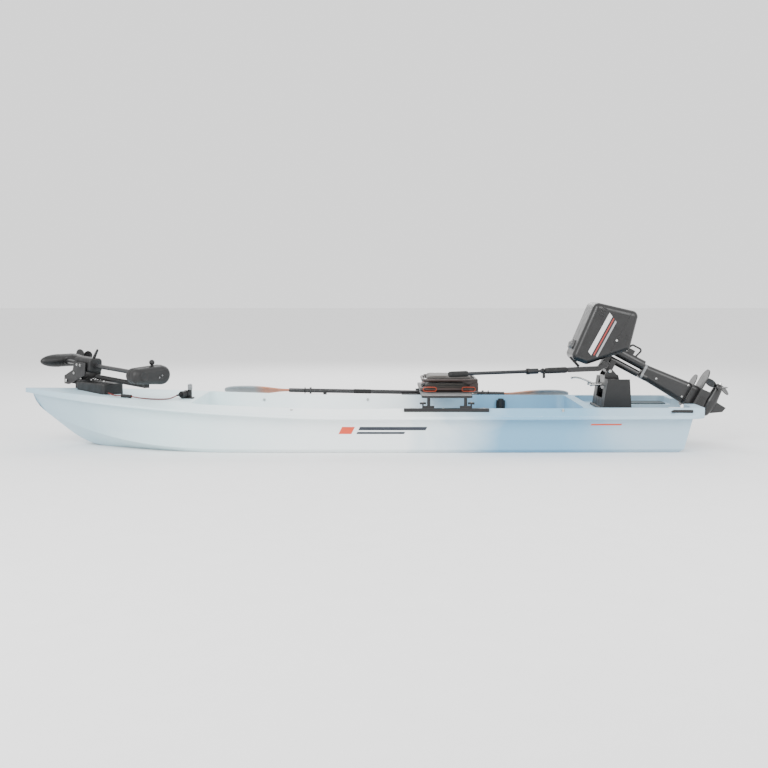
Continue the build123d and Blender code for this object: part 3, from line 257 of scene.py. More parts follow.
def surface(name, color, roughness, grain=700.0, depth=0.0002, mottle=0.18, metallic=0.0, coat=0.0,
            edge_wear_and_highlight=None, edge=0.0012, paint=None):
    """Moulded, painted or metal surface: uneven colour and gloss, fine grain and lighter edges, which are
    scuffing, and on the seat tubes partly a painted highlight.
    paint(tree, place, colour) may add stripes or bands."""
    material = bpy.data.materials.new(name)
    material.use_nodes = True
    tree = material.node_tree
    bsdf = tree.nodes["Principled BSDF"]
    place = add(tree, "TexCoord").outputs["Object"]
    broad = add(tree, "TexNoise", {"Vector": place, "Scale": 7.0, "Detail": 5.0}).outputs["Fac"]
    fine = add(tree, "TexNoise", {"Vector": place, "Scale": grain, "Detail": 2.0}).outputs["Fac"]
    body = ramp(tree, broad, [(0.3, shaded(color, 1 - mottle)), (0.7, shaded(color, 1 + mottle))])
    if paint:
        body = paint(tree, place, body)
    rounded = add(tree, "Bevel", {"Radius": edge}, samples=4).outputs[0]
    flat = add(tree, "NewGeometry").outputs["Normal"]
    facing = add(tree, "VectorMath", {0: rounded, 1: flat}, operation="DOT_PRODUCT").outputs["Value"]
    patchy = add(tree, "TexNoise", {"Vector": place, "Scale": 55.0, "Detail": 4.0}).outputs["Fac"]
    # Mask for the lighter edge colour: scuffing on most parts; on the seat tubes it is partly a painted highlight.
    corner = add(tree, "MapRange", {0: facing, 1: 0.98, 2: 0.78, 3: 0.0, 4: 1.0}).outputs[0]
    edge_wear_and_highlight_mask = math_node(tree, "MULTIPLY", corner, math_node(tree, "MULTIPLY", patchy, 1.1, clamp=True))
    body = blended(tree, edge_wear_and_highlight_mask, body, edge_wear_and_highlight or shaded(color, 2.2))
    tree.links.new(body, bsdf.inputs["Base Color"])
    smears = add(tree, "TexNoise", {"Vector": place, "Scale": 24.0, "Detail": 6.0}).outputs["Fac"]
    gloss = add(tree, "MapRange", {0: smears, 1: 0.3, 2: 0.7, 3: max(0.05, roughness - 0.09),
                                   4: min(1.0, roughness + 0.12)}).outputs[0]
    tree.links.new(gloss, bsdf.inputs["Roughness"])
    bump = add(tree, "Bump", {"Strength": 0.35, "Distance": depth, "Height": fine, "Normal": rounded})
    tree.links.new(bump.outputs[0], bsdf.inputs["Normal"])
    bsdf.inputs["Metallic"].default_value = metallic
    bsdf.inputs["Coat Weight"].default_value = coat
    return material


# The hull's plastic is blended along its length: grey-blue at the bow, nearly white amidships,
# blue behind the bench and paler again at the stern.
BOW_TINT = tint(160, 190, 206)
PALE_TINT = tint(214, 236, 240)
WHITE_TINT = tint(244, 251, 252)
BLUE_TINT = tint(118, 170, 200)
STERN_TINT = tint(168, 194, 210)
MARK_TINT = tint(38, 44, 54)
ORANGE_TINT = tint(214, 74, 44)


def slanted_bars(tree, place, color):
    """Plain side stripes, in place of any name: a dark tapering pair and an orange block."""
    x = along(tree, place, (0, 0, 0), (1, 0, 0.5))
    y = along(tree, place, (0, 0, 0), (0, 1, 0))
    z = along(tree, place, (0, 0, 0), (0, 0, 1))
    side = math_node(tree, "GREATER_THAN", math_node(tree, "ABSOLUTE", y), 0.405)
    bars = [((-0.36, 0.055), (0.146, 0.168), MARK_TINT), ((-0.24, 0.055), (0.122, 0.136), MARK_TINT),
            ((0.085, 0.165), (0.122, 0.168), ORANGE_TINT), ((-1.55, -1.36), (0.176, 0.186), ORANGE_TINT)]
    for (start, end), (low, high), paint in bars:
        bar = math_node(tree, "MULTIPLY", within(tree, x, start, end), within(tree, z, low, high))
        color = blended(tree, math_node(tree, "MULTIPLY", bar, side), color, paint)
    return color


def hull_colors(tree, place, color):
    x = along(tree, place, (-BOW_X, 0, 0), (1, 0, 0))
    share = math_node(tree, "DIVIDE", x, 2 * BOW_X)
    noise = add(tree, "TexNoise", {"Vector": place, "Scale": 1.7, "Detail": 5.0, "Distortion": 1.2})
    cloud = noise.outputs["Fac"]
    drift = math_node(tree, "MULTIPLY", math_node(tree, "SUBTRACT", cloud, 0.5), 0.16)
    share = math_node(tree, "ADD", share, drift, clamp=True)
    stops = [(0.0, STERN_TINT), (0.10, STERN_TINT), (0.21, BLUE_TINT), (0.30, BLUE_TINT),
             (0.42, WHITE_TINT), (0.58, WHITE_TINT), (0.76, PALE_TINT), (1.0, BOW_TINT)]
    return slanted_bars(tree, place, ramp(tree, share, stops))


def cowl_stripes(tree, place, color):
    """Pale bands along the motor's cover, in place of any name."""
    x = along(tree, place, TILT_PIVOT, MOTOR_FORE + MOTOR_UP * 0.45)
    y = along(tree, place, (0, 0, 0), (0, 1, 0))
    z = along(tree, place, TILT_PIVOT, MOTOR_UP)
    side = math_node(tree, "GREATER_THAN", math_node(tree, "ABSOLUTE", y), 0.125)
    bands = [((-0.235, 0.045), (0.168, 0.196), tint(205, 205, 205)),
             ((-0.235, 0.03), (0.150, 0.158), tint(150, 45, 40)),
             ((-0.235, 0.02), (0.128, 0.140), tint(150, 150, 152))]
    for (start, end), (low, high), paint in bands:
        band = math_node(tree, "MULTIPLY", within(tree, x, start, end), within(tree, z, low, high))
        color = blended(tree, math_node(tree, "MULTIPLY", band, side), color, paint)
    return color


def leg_band(tree, place, color):
    """Pale collar where the leg meets its lower mount."""
    z = along(tree, place, TILT_PIVOT, MOTOR_UP)
    return blended(tree, within(tree, z, -0.214, -0.199), color, tint(118, 120, 122))


def blade_necks(tree, place, color):
    """Paddle blades are grey, and orange-brown towards the shaft."""
    x = along(tree, place, (-0.265, 0, 0), (1, 0, 0))
    reach = math_node(tree, "ABSOLUTE", x)
    stops = [(0.72, tint(176, 92, 52)), (0.92, tint(190, 120, 84)), (0.99, tint(150, 156, 160))]
    return ramp(tree, reach, stops)


def foam_grooves(tree, place, color):
    x = along(tree, place, (0, 0, 0), (1, 0, 0))
    wave = math_node(tree, "SINE", math_node(tree, "MULTIPLY", x, 2 * math.pi / 0.022))
    return blended(tree, math_node(tree, "GREATER_THAN", wave, 0.78), color, tint(30, 40, 44))


hull_plastic = surface("hull_plastic", WHITE_TINT, 0.42, 420, 0.0004, 0.03, edge_wear_and_highlight=tint(236, 246, 250),
                       edge=0.004, paint=hull_colors)
deck_foam = surface("deck_foam", tint(78, 92, 98), 0.85, 900, 0.0006, 0.12, paint=foam_grooves)
black_plastic = surface("black_plastic", tint(17, 17, 18), 0.5, 900, 0.00025, 0.25)
grey_plastic = surface("grey_plastic", tint(112, 112, 112), 0.5, 900, 0.00025, 0.15)
cowl_plastic = surface("cowl_plastic", tint(12, 12, 13), 0.36, 260, 0.00008, 0.2, coat=0.15, edge=0.003,
                       paint=cowl_stripes)
motor_paint = surface("motor_paint", tint(14, 14, 15), 0.38, 320, 0.0002, 0.3, coat=0.25,
                      edge_wear_and_highlight=tint(120, 120, 122), paint=leg_band)
engine_metal = surface("engine_metal", tint(130, 130, 128), 0.5, 300, 0.0005, 0.2, metallic=0.9)
frame_paint = surface("frame_paint", tint(15, 15, 16), 0.45, 1100, 0.0003, 0.25, edge_wear_and_highlight=tint(96, 96, 98))
# The seat tubes' lighter reddish edge colour is partly scuffing and partly a painted highlight along the tubes.
seat_tube = surface("seat_tube", tint(46, 34, 31), 0.42, 1100, 0.0003, 0.25, edge_wear_and_highlight=tint(134, 84, 70))
stainless = surface("stainless", tint(186, 186, 184), 0.27, 1400, 0.0001, 0.08, metallic=1.0)
paddle_gloss = surface("paddle_gloss", tint(20, 20, 22), 0.26, 500, 0.00008, 0.3, coat=0.4)
paddle_blade = surface("paddle_blade", tint(150, 156, 160), 0.42, 500, 0.0002, 0.1, paint=blade_necks)
grip_rubber = surface("grip_rubber", tint(28, 28, 28), 0.75, 1300, 0.0004, 0.2)
extension_alloy = surface("extension_alloy", tint(44, 45, 47), 0.33, 900, 0.0001, 0.15, metallic=0.6)
shaft_composite = surface("shaft_composite", tint(34, 34, 35), 0.3, 900, 0.0001, 0.2)
lead_jacket = surface("lead_jacket", tint(112, 32, 26), 0.5, 1200, 0.0002, 0.2)
coil_jacket = surface("coil_jacket", tint(24, 24, 25), 0.5, 1200, 0.0002, 0.2)
orange_webbing = surface("orange_webbing", tint(176, 70, 44), 0.8, 1500, 0.0005, 0.15)
cap_plastic = surface("cap_plastic", tint(150, 152, 154), 0.3, 800, 0.0001, 0.1)
cap_plastic.node_tree.nodes["Principled BSDF"].inputs["Transmission Weight"].default_value = 0.55


def fabric(name, color, thread):
    """Woven cloth: crossed threads, mottled colour and a soft sheen."""
    material = bpy.data.materials.new(name)
    material.use_nodes = True
    tree = material.node_tree
    bsdf = tree.nodes["Principled BSDF"]
    place = add(tree, "TexCoord").outputs["Object"]
    waves = [add(tree, "TexWave", {"Vector": place, "Scale": 0.314 / thread, "Distortion": 0.6},
                 bands_direction=direction).outputs["Fac"] for direction in "XY"]
    weave = math_node(tree, "MAXIMUM", waves[0], waves[1])
    broad = add(tree, "TexNoise", {"Vector": place, "Scale": 16.0, "Detail": 6.0}).outputs["Fac"]
    cloth = ramp(tree, broad, [(0.3, shaded(color, 0.75)), (0.7, shaded(color, 1.25))])
    threads = math_node(tree, "MULTIPLY", math_node(tree, "SUBTRACT", 1.0, weave), 0.5)
    cloth = blended(tree, threads, cloth, shaded(color, 0.45))
    tree.links.new(cloth, bsdf.inputs["Base Color"])
    bump = add(tree, "Bump", {"Strength": 0.5, "Distance": 0.0006, "Height": weave})
    tree.links.new(bump.outputs[0], bsdf.inputs["Normal"])
    rough = add(tree, "MapRange", {0: broad, 3: 0.78, 4: 0.95}).outputs[0]
    tree.links.new(rough, bsdf.inputs["Roughness"])
    bsdf.inputs["Sheen Weight"].default_value = 0.25
    return material


seat_fabric = fabric("seat_fabric", tint(72, 68, 64), 0.0022)

NODE_MATERIALS = {
    "hull_plastic": hull_plastic, "deck_foam": deck_foam, "black_plastic": black_plastic,
    "fuel_cap_plastic": grey_plastic, "cowl_plastic": cowl_plastic, "motor_paint": motor_paint,
    "engine_metal": engine_metal, "frame_paint": frame_paint, "seat_tube": seat_tube,
    "stainless": stainless, "seat_fabric": seat_fabric, "paddle_shaft_plastic": paddle_gloss,
    "paddle_blade_plastic": paddle_blade, "grip_rubber": grip_rubber,
    "extension_alloy": extension_alloy, "trolling_shaft_composite": shaft_composite,
    "trolling_propeller_plastic": black_plastic, "lead_jacket": lead_jacket,
    "coil_jacket": coil_jacket, "cap_plastic": cap_plastic,
}
for part in frame["record"]["subparts"]:
    node = nodes[part["node"]]
    node.data.materials.clear()
    node.data.materials.append(NODE_MATERIALS[part["material_slot"]])


# ---------------------------------------------------------------- building pieces
def placed(name, mesh_data, body, material):
    """Finished mesh as a piece that rides on a body."""
    mesh_data.materials.append(material)
    piece = bpy.data.objects.new(name, mesh_data)
    scene.collection.objects.link(piece)
    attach(piece, body)
    return piece


def from_bmesh(name, shape, body, material, smooth=True):
    data = bpy.data.meshes.new(name)
    bmesh.ops.recalc_face_normals(shape, faces=shape.faces)
    shape.to_mesh(data)
    shape.free()
    data.polygons.foreach_set("use_smooth", [smooth] * len(data.polygons))
    data.set_sharp_from_angle(angle=math.radians(38))
    return placed(name, data, body, material)


def turned(shape, profile, origin, axis, segments=24, stretch=1.0):
    """Turns (radius, height) points about an axis. A radius of 0 closes the end."""
    turn = Vector(axis).to_track_quat("Z", "Y")
    rings = []
    for radius, height in profile:
        if radius == 0:
            rings.append([shape.verts.new(origin + turn @ Vector((0, 0, height)))])
            continue
        ring = []
        for i in range(segments):
            angle = 2 * math.pi * i / segments
            spoke = Vector((radius * math.cos(angle), radius * stretch * math.sin(angle), height))
            ring.append(shape.verts.new(origin + turn @ spoke))
        rings.append(ring)
    for ring, following in zip(rings, rings[1:]):
        for i in range(segments):
            corners = [ring[i % len(ring)], ring[(i + 1) % len(ring)],
                       following[(i + 1) % len(following)], following[i % len(following)]]
            corners = list(dict.fromkeys(corners))
            if len(corners) > 2:
                shape.faces.new(corners)


def turned_piece(name, profile, places, axis, body, material, segments=24):
    """The same turned form at each of some places, as one piece."""
    shape = bmesh.new()
    for origin in places:
        turned(shape, profile, Vector(origin), axis, segments)
    return from_bmesh(name, shape, body, material)


def screw_profile(radius):
    """Washer, domed head and the hollow for its key."""
    return [(0, 0), (radius * 1.5, 0), (radius * 1.5, radius * 0.25), (radius, radius * 0.3),
            (radius * 0.92, radius * 0.8), (radius * 0.6, radius), (radius * 0.45, radius),
            (radius * 0.4, radius * 0.55), (0, radius * 0.5)]


def screws(name, places, axis, radius, body, material=stainless):
    return turned_piece(name, screw_profile(radius), places, axis, body, material, 18)


def ribbed_sleeve(name, start, direction, length, radius, pitch, body, material):
    """Row of raised rounded ribs round a grip."""
    profile = [(radius * 0.9, 0.0)]
    for i in range(int(length / pitch)):
        base = i * pitch
        profile += [(radius, base + pitch * 0.1), (radius + 0.0014, base + pitch * 0.3),
                    (radius + 0.0014, base + pitch * 0.6), (radius, base + pitch * 0.8)]
    profile.append((radius * 0.9, length))
    shape = bmesh.new()
    turned(shape, profile, Vector(start), direction, 32)
    return from_bmesh(name, shape, body, material)


def rounded_rectangle(centre, half_x, half_y, corner, x_dir=Vector((1, 0, 0)), y_dir=PORT, steps=8):
    """Points round a rectangle with round corners."""
    points = []
    for quarter, (sx, sy) in enumerate(((1, 1), (-1, 1), (-1, -1), (1, -1))):
        middle = centre + x_dir * sx * (half_x - corner) + y_dir * sy * (half_y - corner)
        for i in range(steps + 1):
            angle = math.pi / 2 * (quarter + i / steps)
            points.append(middle + (x_dir * math.cos(angle) + y_dir * math.sin(angle)) * corner)
    return points


def band(name, points, half_width, thickness, across, body, material, slot, closed=True):
    """Strip of webbing or edging along a path, flat in the direction `across`."""
    shape = bmesh.new()
    count = len(points)
    rings = []
    for i, point in enumerate(points):
        ahead = points[(i + 1) % count] if closed or i + 1 < count else point
        behind = points[i - 1] if closed or i > 0 else point
        outward = (ahead - behind).normalized().cross(across).normalized()
        ring = []
        for side, lift in ((-1, -0.5), (-1, 0.5), (-0.5, 0.62), (0.5, 0.62), (1, 0.5), (1, -0.5)):
            ring.append(shape.verts.new(point + across * side * half_width + outward * lift * thickness))
        rings.append(ring)
    pairs = list(zip(rings, rings[1:] + rings[:1])) if closed else list(zip(rings, rings[1:]))
    for ring, following in pairs:
        for i in range(6):
            shape.faces.new([ring[i], ring[(i + 1) % 6], following[(i + 1) % 6], following[i]])
    if not closed:
        shape.faces.new(rings[0])
        shape.faces.new(rings[-1])
    return from_bmesh(name, shape, body, material)


def tube_piece(name, points, radius, body, material, closed=False):
    """Round bar through points, smoothly bent."""
    data = bpy.data.curves.new(name, "CURVE")
    data.dimensions = "3D"
    data.bevel_depth = radius
    data.bevel_resolution = 3
    data.use_fill_caps = True
    spline = data.splines.new("POLY")
    spline.points.add(len(points) - 1)
    for point, place in zip(spline.points, points):
        point.co = (*place, 1)
    spline.use_cyclic_u = closed
    spline.use_smooth = True
    data.materials.append(material)
    piece = bpy.data.objects.new(name, data)
    scene.collection.objects.link(piece)
    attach(piece, body)
    return piece


# ---------------------------------------------------------------- leads and their ends
def strain_relief(name, exit_point, direction, body, material, length=0.026, root=0.0072):
    """Tapered, ringed rubber sleeve round a lead where it leaves something."""
    profile = [(0, -0.002), (root * 1.25, -0.002), (root * 1.25, 0.003)]
    rings = 6
    for i in range(rings):
        share = i / rings
        radius = root - (root - 0.0046) * share
        base = 0.003 + (length - 0.003) * share
        step = (length - 0.003) / rings
        profile += [(radius, base), (radius, base + step * 0.6), (radius - 0.0009, base + step * 0.7)]
    profile += [(0.0042, length), (0, length)]
    return turned_piece(name, profile, [exit_point], direction, body, material)


for lead in (fore_lead, aft_lead):
    lead.data.materials.append(lead_jacket)
    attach(lead, "skiff")
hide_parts("power_lead_fore")
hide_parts("power_lead_aft")
lead_relief = strain_relief("lead_relief", fore_route[0], fore_route[1] - fore_route[0], "skiff",
                            black_plastic)
plug_relief = strain_relief("plug_relief", aft_route[-1], aft_route[-2] - aft_route[-1], "skiff",
                            black_plastic)
length_of(line_of(fore_lead))
length_of(line_of(aft_lead))

coiled_lead.data.materials.append(coil_jacket)
coiled_lead.data.polygons.foreach_set("use_smooth", [True] * len(coiled_lead.data.polygons))
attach(coiled_lead, "trolling_head")
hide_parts("coil_cord")
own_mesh(coiled_lead)


# ---------------------------------------------------------------- seat cushions
SWELL_FRAMES = 20
VOXEL = 0.005


def mesh_of(piece):
    return bpy.data.meshes.new_from_object(piece.evaluated_get(bpy.context.evaluated_depsgraph_get()))


def cushion_form(name, low, high, corner):
    """Rounded block, a little smaller than its finished size."""
    shape = bmesh.new()
    bmesh.ops.create_cube(shape, size=1)
    size = high - low
    for vert in shape.verts:
        vert.co = Vector([a + (c + 0.5) * s for a, c, s in zip(low, vert.co, size)])
    upright = [e for e in shape.edges if abs((e.verts[0].co - e.verts[1].co).normalized().z) > 0.9]
    bmesh.ops.bevel(shape, geom=upright, offset=corner, segments=6, profile=0.5, affect="EDGES")
    rims = [e for e in shape.edges if abs((e.verts[0].co - e.verts[1].co).normalized().z) < 0.1
            and len(e.link_faces) == 2 and e.calc_face_angle(0) > 1.0]
    bmesh.ops.bevel(shape, geom=rims, offset=0.009, segments=3, profile=0.5, affect="EDGES")
    data = bpy.data.meshes.new(name)
    shape.to_mesh(data)
    shape.free()
    return data


def swollen(name, data, cap):
    """Fabric skin blown up like a stuffed cushion, by no more than cap anywhere."""
    piece = bpy.data.objects.new(name, data)
    scene.collection.objects.link(piece)
    remesh = piece.modifiers.new("remesh", "REMESH")
    remesh.mode = "VOXEL"
    remesh.voxel_size = VOXEL
    bpy.context.view_layer.update()
    piece.data = mesh_of(piece)
    piece.modifiers.clear()
    start = [v.co.copy() for v in piece.data.vertices]
    cloth = piece.modifiers.new("cloth", "CLOTH")
    cloth.settings.use_pressure = True
    cloth.settings.uniform_pressure_force = 4
    cloth.settings.effector_weights.gravity = 0
    for step in range(1, SWELL_FRAMES + 1):
        scene.frame_set(step)
    skin = mesh_of(piece)
    piece.modifiers.clear()
    for vert, before, after in zip(piece.data.vertices, start, skin.vertices):
        moved = after.co - before
        vert.co = before + moved * min(1.0, cap / max(moved.length, 1e-6))
    bpy.data.meshes.remove(skin)
    scene.frame_set(1)
    return piece


def cushion(node, body, channels, top_limit, bottom_limit):
    """Stuffed pad in the space of a plain CAD cushion, with sewn channels across it and a piped edge."""
    low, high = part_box(node)
    draw_in = Vector((0.008, 0.008, 0.005))
    piece = swollen(node + "_pad", cushion_form(node + "_pad", low + draw_in, high - draw_in, 0.036), 0.010)
    centre = (low + high) / 2
    half = (high - low) / 2
    for vert in piece.data.vertices:
        offset = vert.co - centre
        reach = max(abs(offset.x) / half.x, abs(offset.y) / half.y)
        side = 1 if offset.z > 0 else -1
        crown = 0.004 * max(0.0, 1 - reach**2)
        dip = sum(0.0038 * math.exp(-((offset.x - c * half.x) / 0.0055) ** 2) for c in channels)
        wrinkle = 0.0006 * math.sin(offset.y * 150 + 3 * math.sin(offset.x * 60))
        if abs(offset.z) > half.z * 0.4:
            vert.co.z += side * (crown - dip * (reach < 0.95) + wrinkle * reach)
        vert.co.z = min(top_limit, max(bottom_limit, vert.co.z))
    piece.data.materials.append(seat_fabric)
    piece.data.polygons.foreach_set("use_smooth", [True] * len(piece.data.polygons))
    smooth = piece.modifiers.new("smooth", "SUBSURF")
    smooth.levels = smooth.render_levels = 1
    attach(piece, body)
    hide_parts(node)
    for tier, z in (("upper", high.z - 0.010), ("lower", low.z + 0.010)):
        outline = rounded_rectangle(Vector((centre.x, centre.y, z)), half.x - 0.002, half.y - 0.002, 0.040)
        tube_piece(f"{node}_{tier}_piping", outline, 0.0026, body, black_plastic, closed=True)
    return piece


seat_low, seat_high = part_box("seat_cushion")
back_low, back_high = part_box("back_cushion")
cushion("seat_cushion", "bench", (-0.45, 0.45), seat_high.z + 0.002, seat_low.z)
cushion("back_cushion", "seat_back", (-0.5, 0.0, 0.5), back_high.z + 0.004, back_low.z - 0.001)

frame_low, frame_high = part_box("seat_frame")
for end, x in (("fore", frame_high.x - 0.062), ("aft", frame_low.x + 0.062)):
    for side_name, y in (("port", frame_high.y + 0.0005), ("starboard", frame_low.y - 0.0005)):
        loop = rounded_rectangle(Vector((x, y, frame_low.z + 0.014)), 0.042, 0.013, 0.0125,
                                 y_dir=UP, steps=6)
        band(f"{end}_{side_name}_strap", loop, 0.0045, 0.0035, PORT, "bench", orange_webbing, "seat_fabric")

# ---------------------------------------------------------------- hull fittings
mount_low, mount_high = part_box("motor_mount")
cheek_y = mount_high.y
flange_z = mount_low.z + 0.012
foot_bolts = [(x, y, flange_z) for y in (cheek_y - 0.012, mount_low.y + 0.012)
              for x in (mount_low.x + 0.025, (mount_low.x + mount_high.x) / 2, mount_high.x - 0.025)]
screws("mount_foot_bolts", foot_bolts, UP, 0.0065, "skiff")
rail_low, rail_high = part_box("seat_rails")
post_low, post_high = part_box("bench_posts")
SLIDE_AFT, SLIDE_FORE = 0.045, 0.090
between_feet = (post_low.x + SLIDE_FORE + post_high.x - SLIDE_AFT) / 2
rail_screws = [(x, y, rail_high.z) for x in (rail_low.x + 0.03, between_feet) for y in (0.44, -0.44)]
screws("rail_screws", rail_screws, UP, 0.004, "skiff")
knob_low, knob_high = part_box("bench_knobs")
knob_profile = [(0, 0), (0.006, 0), (0.006, 0.002), (0.0045, 0.0035), (0, 0.004)]
turned_piece("knob_caps", knob_profile,
             [(x, y, knob_high.z) for x in (knob_low.x + 0.02, knob_high.x - 0.02) for y in (0.44, -0.44)],
             UP, "bench", stainless)
base_low, base_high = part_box("trolling_base")
BASE_DIR = Vector((SHAFT_DIR.x, SHAFT_DIR.y, 0)).normalized()
BASE_SIDE = Vector((-BASE_DIR.y, BASE_DIR.x, 0))
deploy_hinge = Vector(joints["trolling_deploy"]["pos_m"])
base_top = base_high.z


def on_base(run, side, height):
    """Point on the bow mount: along it from its hinge, to one side, and over its top."""
    return Vector((deploy_hinge.x, deploy_hinge.y, base_top + height)) + BASE_DIR * run + BASE_SIDE * side


screws("base_bolts", [on_base(run, side, -0.0005) for run in (0.175, 0.46) for side in (-0.055, 0.055)],
       UP, 0.0055, "skiff")
rib_shape = bmesh.new()
for i in range(7):
    start = on_base(0.215 + 0.035 * i, 0, 0.0)
    turned(rib_shape, [(0, -0.002), (0.008, -0.002), (0.008, 0.0025), (0.006, 0.004), (0, 0.004)],
           start + BASE_SIDE * 0.028, UP, 16, 2.2)
    turned(rib_shape, [(0, -0.002), (0.008, -0.002), (0.008, 0.0025), (0.006, 0.004), (0, 0.004)],
           start - BASE_SIDE * 0.028, UP, 16, 2.2)
from_bmesh("base_rest_studs", rib_shape, "skiff", grip_rubber)
turned_piece("hinge_caps", [(0, 0), (0.012, 0), (0.012, 0.003), (0.009, 0.006), (0, 0.007)],
             [deploy_hinge + NOSE_DIR * 0.063], NOSE_DIR, "skiff", stainless)

PADDLE_DROP = math.radians(1.0)
PADDLE_DIR = Vector((math.cos(PADDLE_DROP), 0, math.sin(PADDLE_DROP)))
paddle_middle = Vector((-0.265, -0.485, 0.292))
for end in (1, -1):
    ring_start = paddle_middle + PADDLE_DIR * end * 0.635
    turned_piece(f"drip_lip_{'fore' if end > 0 else 'aft'}",
                 [(0.0151, 0), (0.019, 0.001), (0.0235, 0.004), (0.0245, 0.006), (0.0235, 0.0065),
                  (0.0151, 0.0075)],
                 [ring_start], PADDLE_DIR * end, "skiff", grip_rubber, 32)
for place_name, reach in (("fore", 0.18), ("aft", -0.30)):
    ribbed_sleeve(f"paddle_grip_{place_name}", paddle_middle + PADDLE_DIR * reach, PADDLE_DIR, 0.12, 0.0152,
                  0.006, "skiff", grip_rubber)
turned_piece("drain_plug", [(0, 0), (0.014, 0), (0.014, 0.004), (0.010, 0.006), (0.006, 0.010), (0, 0.010)],
             [(-1.95, 0.445, 0.262)], UP, "skiff", black_plastic)

# ---------------------------------------------------------------- outboard
cowl_face = 0.138
for side_name, side in (("port", 1), ("starboard", -1)):
    y = side * (cowl_face - 0.0015)
    across = PORT * side
    latch = rounded_rectangle(on_motor(-0.19, y, 0.070), 0.020, 0.013, 0.006, MOTOR_FORE, MOTOR_UP, 4)
    band(f"cowl_latch_{side_name}", latch, 0.004, 0.006, across, "outboard", frame_paint, "motor_paint")
    screws(f"latch_screw_{side_name}", [on_motor(-0.19, side * cowl_face, 0.070)], across, 0.005, "outboard")
    for i in range(4):
        slot_line = [on_motor(-0.335 + 0.016 * i, side * (cowl_face + 0.0005), z)
                     for z in (0.215, 0.232, 0.250)]
        tube_piece(f"cowl_vent_{side_name}_{i}", slot_line, 0.0028, "outboard", motor_paint)
    screws(f"plate_bolts_{side_name}",
           [on_motor(x, side * 0.0305, z) for x, z in ((-0.075, -0.505), (-0.160, -0.505), (-0.10, -0.30))],
           across, 0.0045, "outboard")
    for i in range(5):
        intake = [on_motor(-0.085 - 0.013 * i, side * 0.0185, -0.615 - d) for d in (0.0, 0.018, 0.036)]
        tube_piece(f"intake_{side_name}_{i}", intake, 0.0022, "outboard", frame_paint)
cap_ribs = bmesh.new()
cap_axis = (MOTOR_FORE * -0.092 + MOTOR_UP * 0.996).normalized()
cap_top = on_motor(-0.040, 0, 0.279) + cap_axis * 0.022
for i in range(14):
    angle = 2 * math.pi * i / 14
    side = cap_axis.orthogonal().normalized()
    spoke = side * math.cos(angle) + cap_axis.cross(side) * math.sin(angle)
    turned(cap_ribs, [(0, -0.013), (0.0028, -0.013), (0.0028, -0.001), (0, 0.0005)],
           cap_top + spoke * 0.0295, cap_axis, 10)
from_bmesh("fuel_cap_ribs", cap_ribs, "outboard", grey_plastic)
turned_piece("fuel_cap_vent", [(0.016, 0), (0.016, 0.003), (0.011, 0.006), (0.006, 0.010), (0, 0.010)],
             [cap_top], cap_axis, "outboard", grey_plastic)
ribbed_sleeve("throttle_ribs", TILLER_HINGE + TILLER_DIR * 0.215, TILLER_DIR, 0.118, 0.0186, 0.0075,
              "tiller", grip_rubber)
ribbed_sleeve("extension_ribs", EXTENSION_BALL + EXTENSION_DIR * (EXTENSION_LENGTH - 0.125), EXTENSION_DIR,
              0.114, 0.0171, 0.0065, "extension", grip_rubber)
turned_piece("extension_nut", [(0.0185, 0), (0.0205, 0.002), (0.0205, 0.018), (0.0185, 0.020),
                               (0.011, 0.021)],
             [EXTENSION_BALL + EXTENSION_DIR * 0.094], EXTENSION_DIR, "extension", black_plastic,
             12)
hub_end = on_motor(-0.2615, 0, -0.695)
turned_piece("propeller_nut", [(0, 0.022), (0.005, 0.022), (0.006, 0.020), (0.006, 0.010), (0.012, 0.009),
                              (0.012, 0.001), (0.016, 0)],
             [hub_end], -MOTOR_FORE, "outboard_screw", stainless, 6)
clamp_low, clamp_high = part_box("clamp_screws")
for y in (0.045, -0.045):
    turned_piece(f"clamp_grip_{'port' if y > 0 else 'starboard'}",
                 [(0, 0), (0.009, 0), (0.011, 0.002), (0.011, 0.009), (0.008, 0.012), (0, 0.012)],
                 [(clamp_high.x - 0.002, y, (clamp_low.z + clamp_high.z) / 2)], (1, 0, 0), "skiff",
                 stainless)
turned_piece("tilt_pin_ends", [(0, 0), (0.013, 0), (0.013, 0.006), (0.010, 0.009), (0, 0.010)],
             [TILT_PIVOT + PORT * 0.080], PORT, "skiff", stainless, 6)

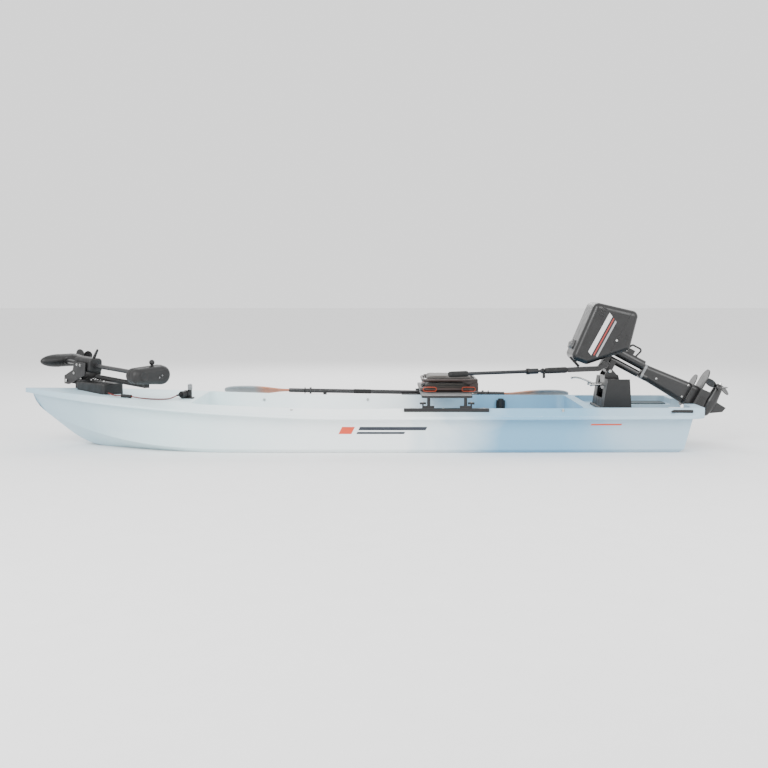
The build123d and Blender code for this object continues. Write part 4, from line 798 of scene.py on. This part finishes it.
# ---------------------------------------------------------------- trolling motor
ring_shape = bmesh.new()
for x in (-0.060, 0.036):
    turned(ring_shape, [(0.040, -0.003), (0.0442, -0.002), (0.0446, 0.0), (0.0442, 0.002), (0.040, 0.003)],
           on_shaft(x, 0, 0), NOSE_DIR, 40)
from_bmesh("motor_seams", ring_shape, "trolling_shaft", black_plastic)
turned_piece("trolling_nut", [(0.012, 0), (0.014, 0.002), (0.014, 0.012), (0.010, 0.018), (0, 0.019)],
             [on_shaft(-0.183, 0, 0)], -NOSE_DIR, "trolling_screw", stainless, 6)
dial_place = on_shaft(0.070, 0, 0.989 + 0.110)
turned_piece("head_dial", [(0.030, -0.001), (0.030, 0.0015), (0.027, 0.003), (0.024, 0.0015),
                           (0.010, 0.001), (0, 0.001)],
             [dial_place], SHAFT_DIR, "trolling_head", black_plastic, 40)
turned_piece("head_lamps", [(0.005, -0.001), (0.005, 0.0012), (0.003, 0.002), (0, 0.0022)],
             [on_shaft(-0.060, 0.0, 1.099), on_shaft(-0.040, 0.012, 1.099)], SHAFT_DIR, "trolling_head",
             cap_plastic, 20)
seam_points = []
for i in range(72):
    angle = 2 * math.pi * i / 72
    long_side = 0.072 if math.cos(angle) < 0 else 0.096
    reach = 0.0602 if math.cos(angle) < 0 else 0.0482
    seam_points.append(on_shaft(math.cos(angle) * reach + (-long_side if math.cos(angle) < 0 else long_side),
                                math.sin(angle) * reach, 1.044))
tube_piece("head_seam", seam_points, 0.0012, "trolling_head", grip_rubber, closed=True)
for side_name, side in (("nose", 1), ("tail", -1)):
    bolts = [on_shaft(side * 0.061, y, z) for y, z in ((0.0, 0.330), (0.0, 0.290), (0.060, 0.250))]
    screws(f"arm_bolts_{side_name}", bolts, NOSE_DIR * side, 0.006, "trolling_arm")

# ---------------------------------------------------------------- floor and light
floor_data = bpy.data.meshes.new("floor")
span = 40.0
floor_corners = [(-span, -span, 0), (span, -span, 0), (span, span, 0), (-span, span, 0)]
floor_data.from_pydata(floor_corners, [], [(0, 1, 2, 3)])
floor_tint = tint(240, 240, 240)
floor_data.materials.append(surface("floor_paint", floor_tint, 0.9, 40, 0.0005, 0.01, edge_wear_and_highlight=floor_tint))
floor = bpy.data.objects.new("floor", floor_data)
scene.collection.objects.link(floor)
floor.location.z = -0.0005

world = bpy.data.worlds.new("studio")
world.use_nodes = True
world.node_tree.nodes["Background"].inputs[0].default_value = (1, 1, 1, 1)
world.node_tree.nodes["Background"].inputs[1].default_value = 1.5
scene.world = world


def softbox(name, place, target, width, power):
    data = bpy.data.lights.new(name, "AREA")
    data.shape = "SQUARE"
    data.size = width
    data.energy = power
    light = bpy.data.objects.new(name, data)
    scene.collection.objects.link(light)
    light.location = place
    light.rotation_euler = (Vector(target) - Vector(place)).to_track_quat("-Z", "Y").to_euler()


softbox("key", (3.0, 5.5, 4.5), (0, 0, 0.3), 4.0, 420)
softbox("fill", (-4.0, 4.0, 3.0), (-1, 0, 0.4), 3.0, 160)
softbox("rim", (0.0, -5.0, 4.0), (0, 0, 0.4), 4.0, 240)
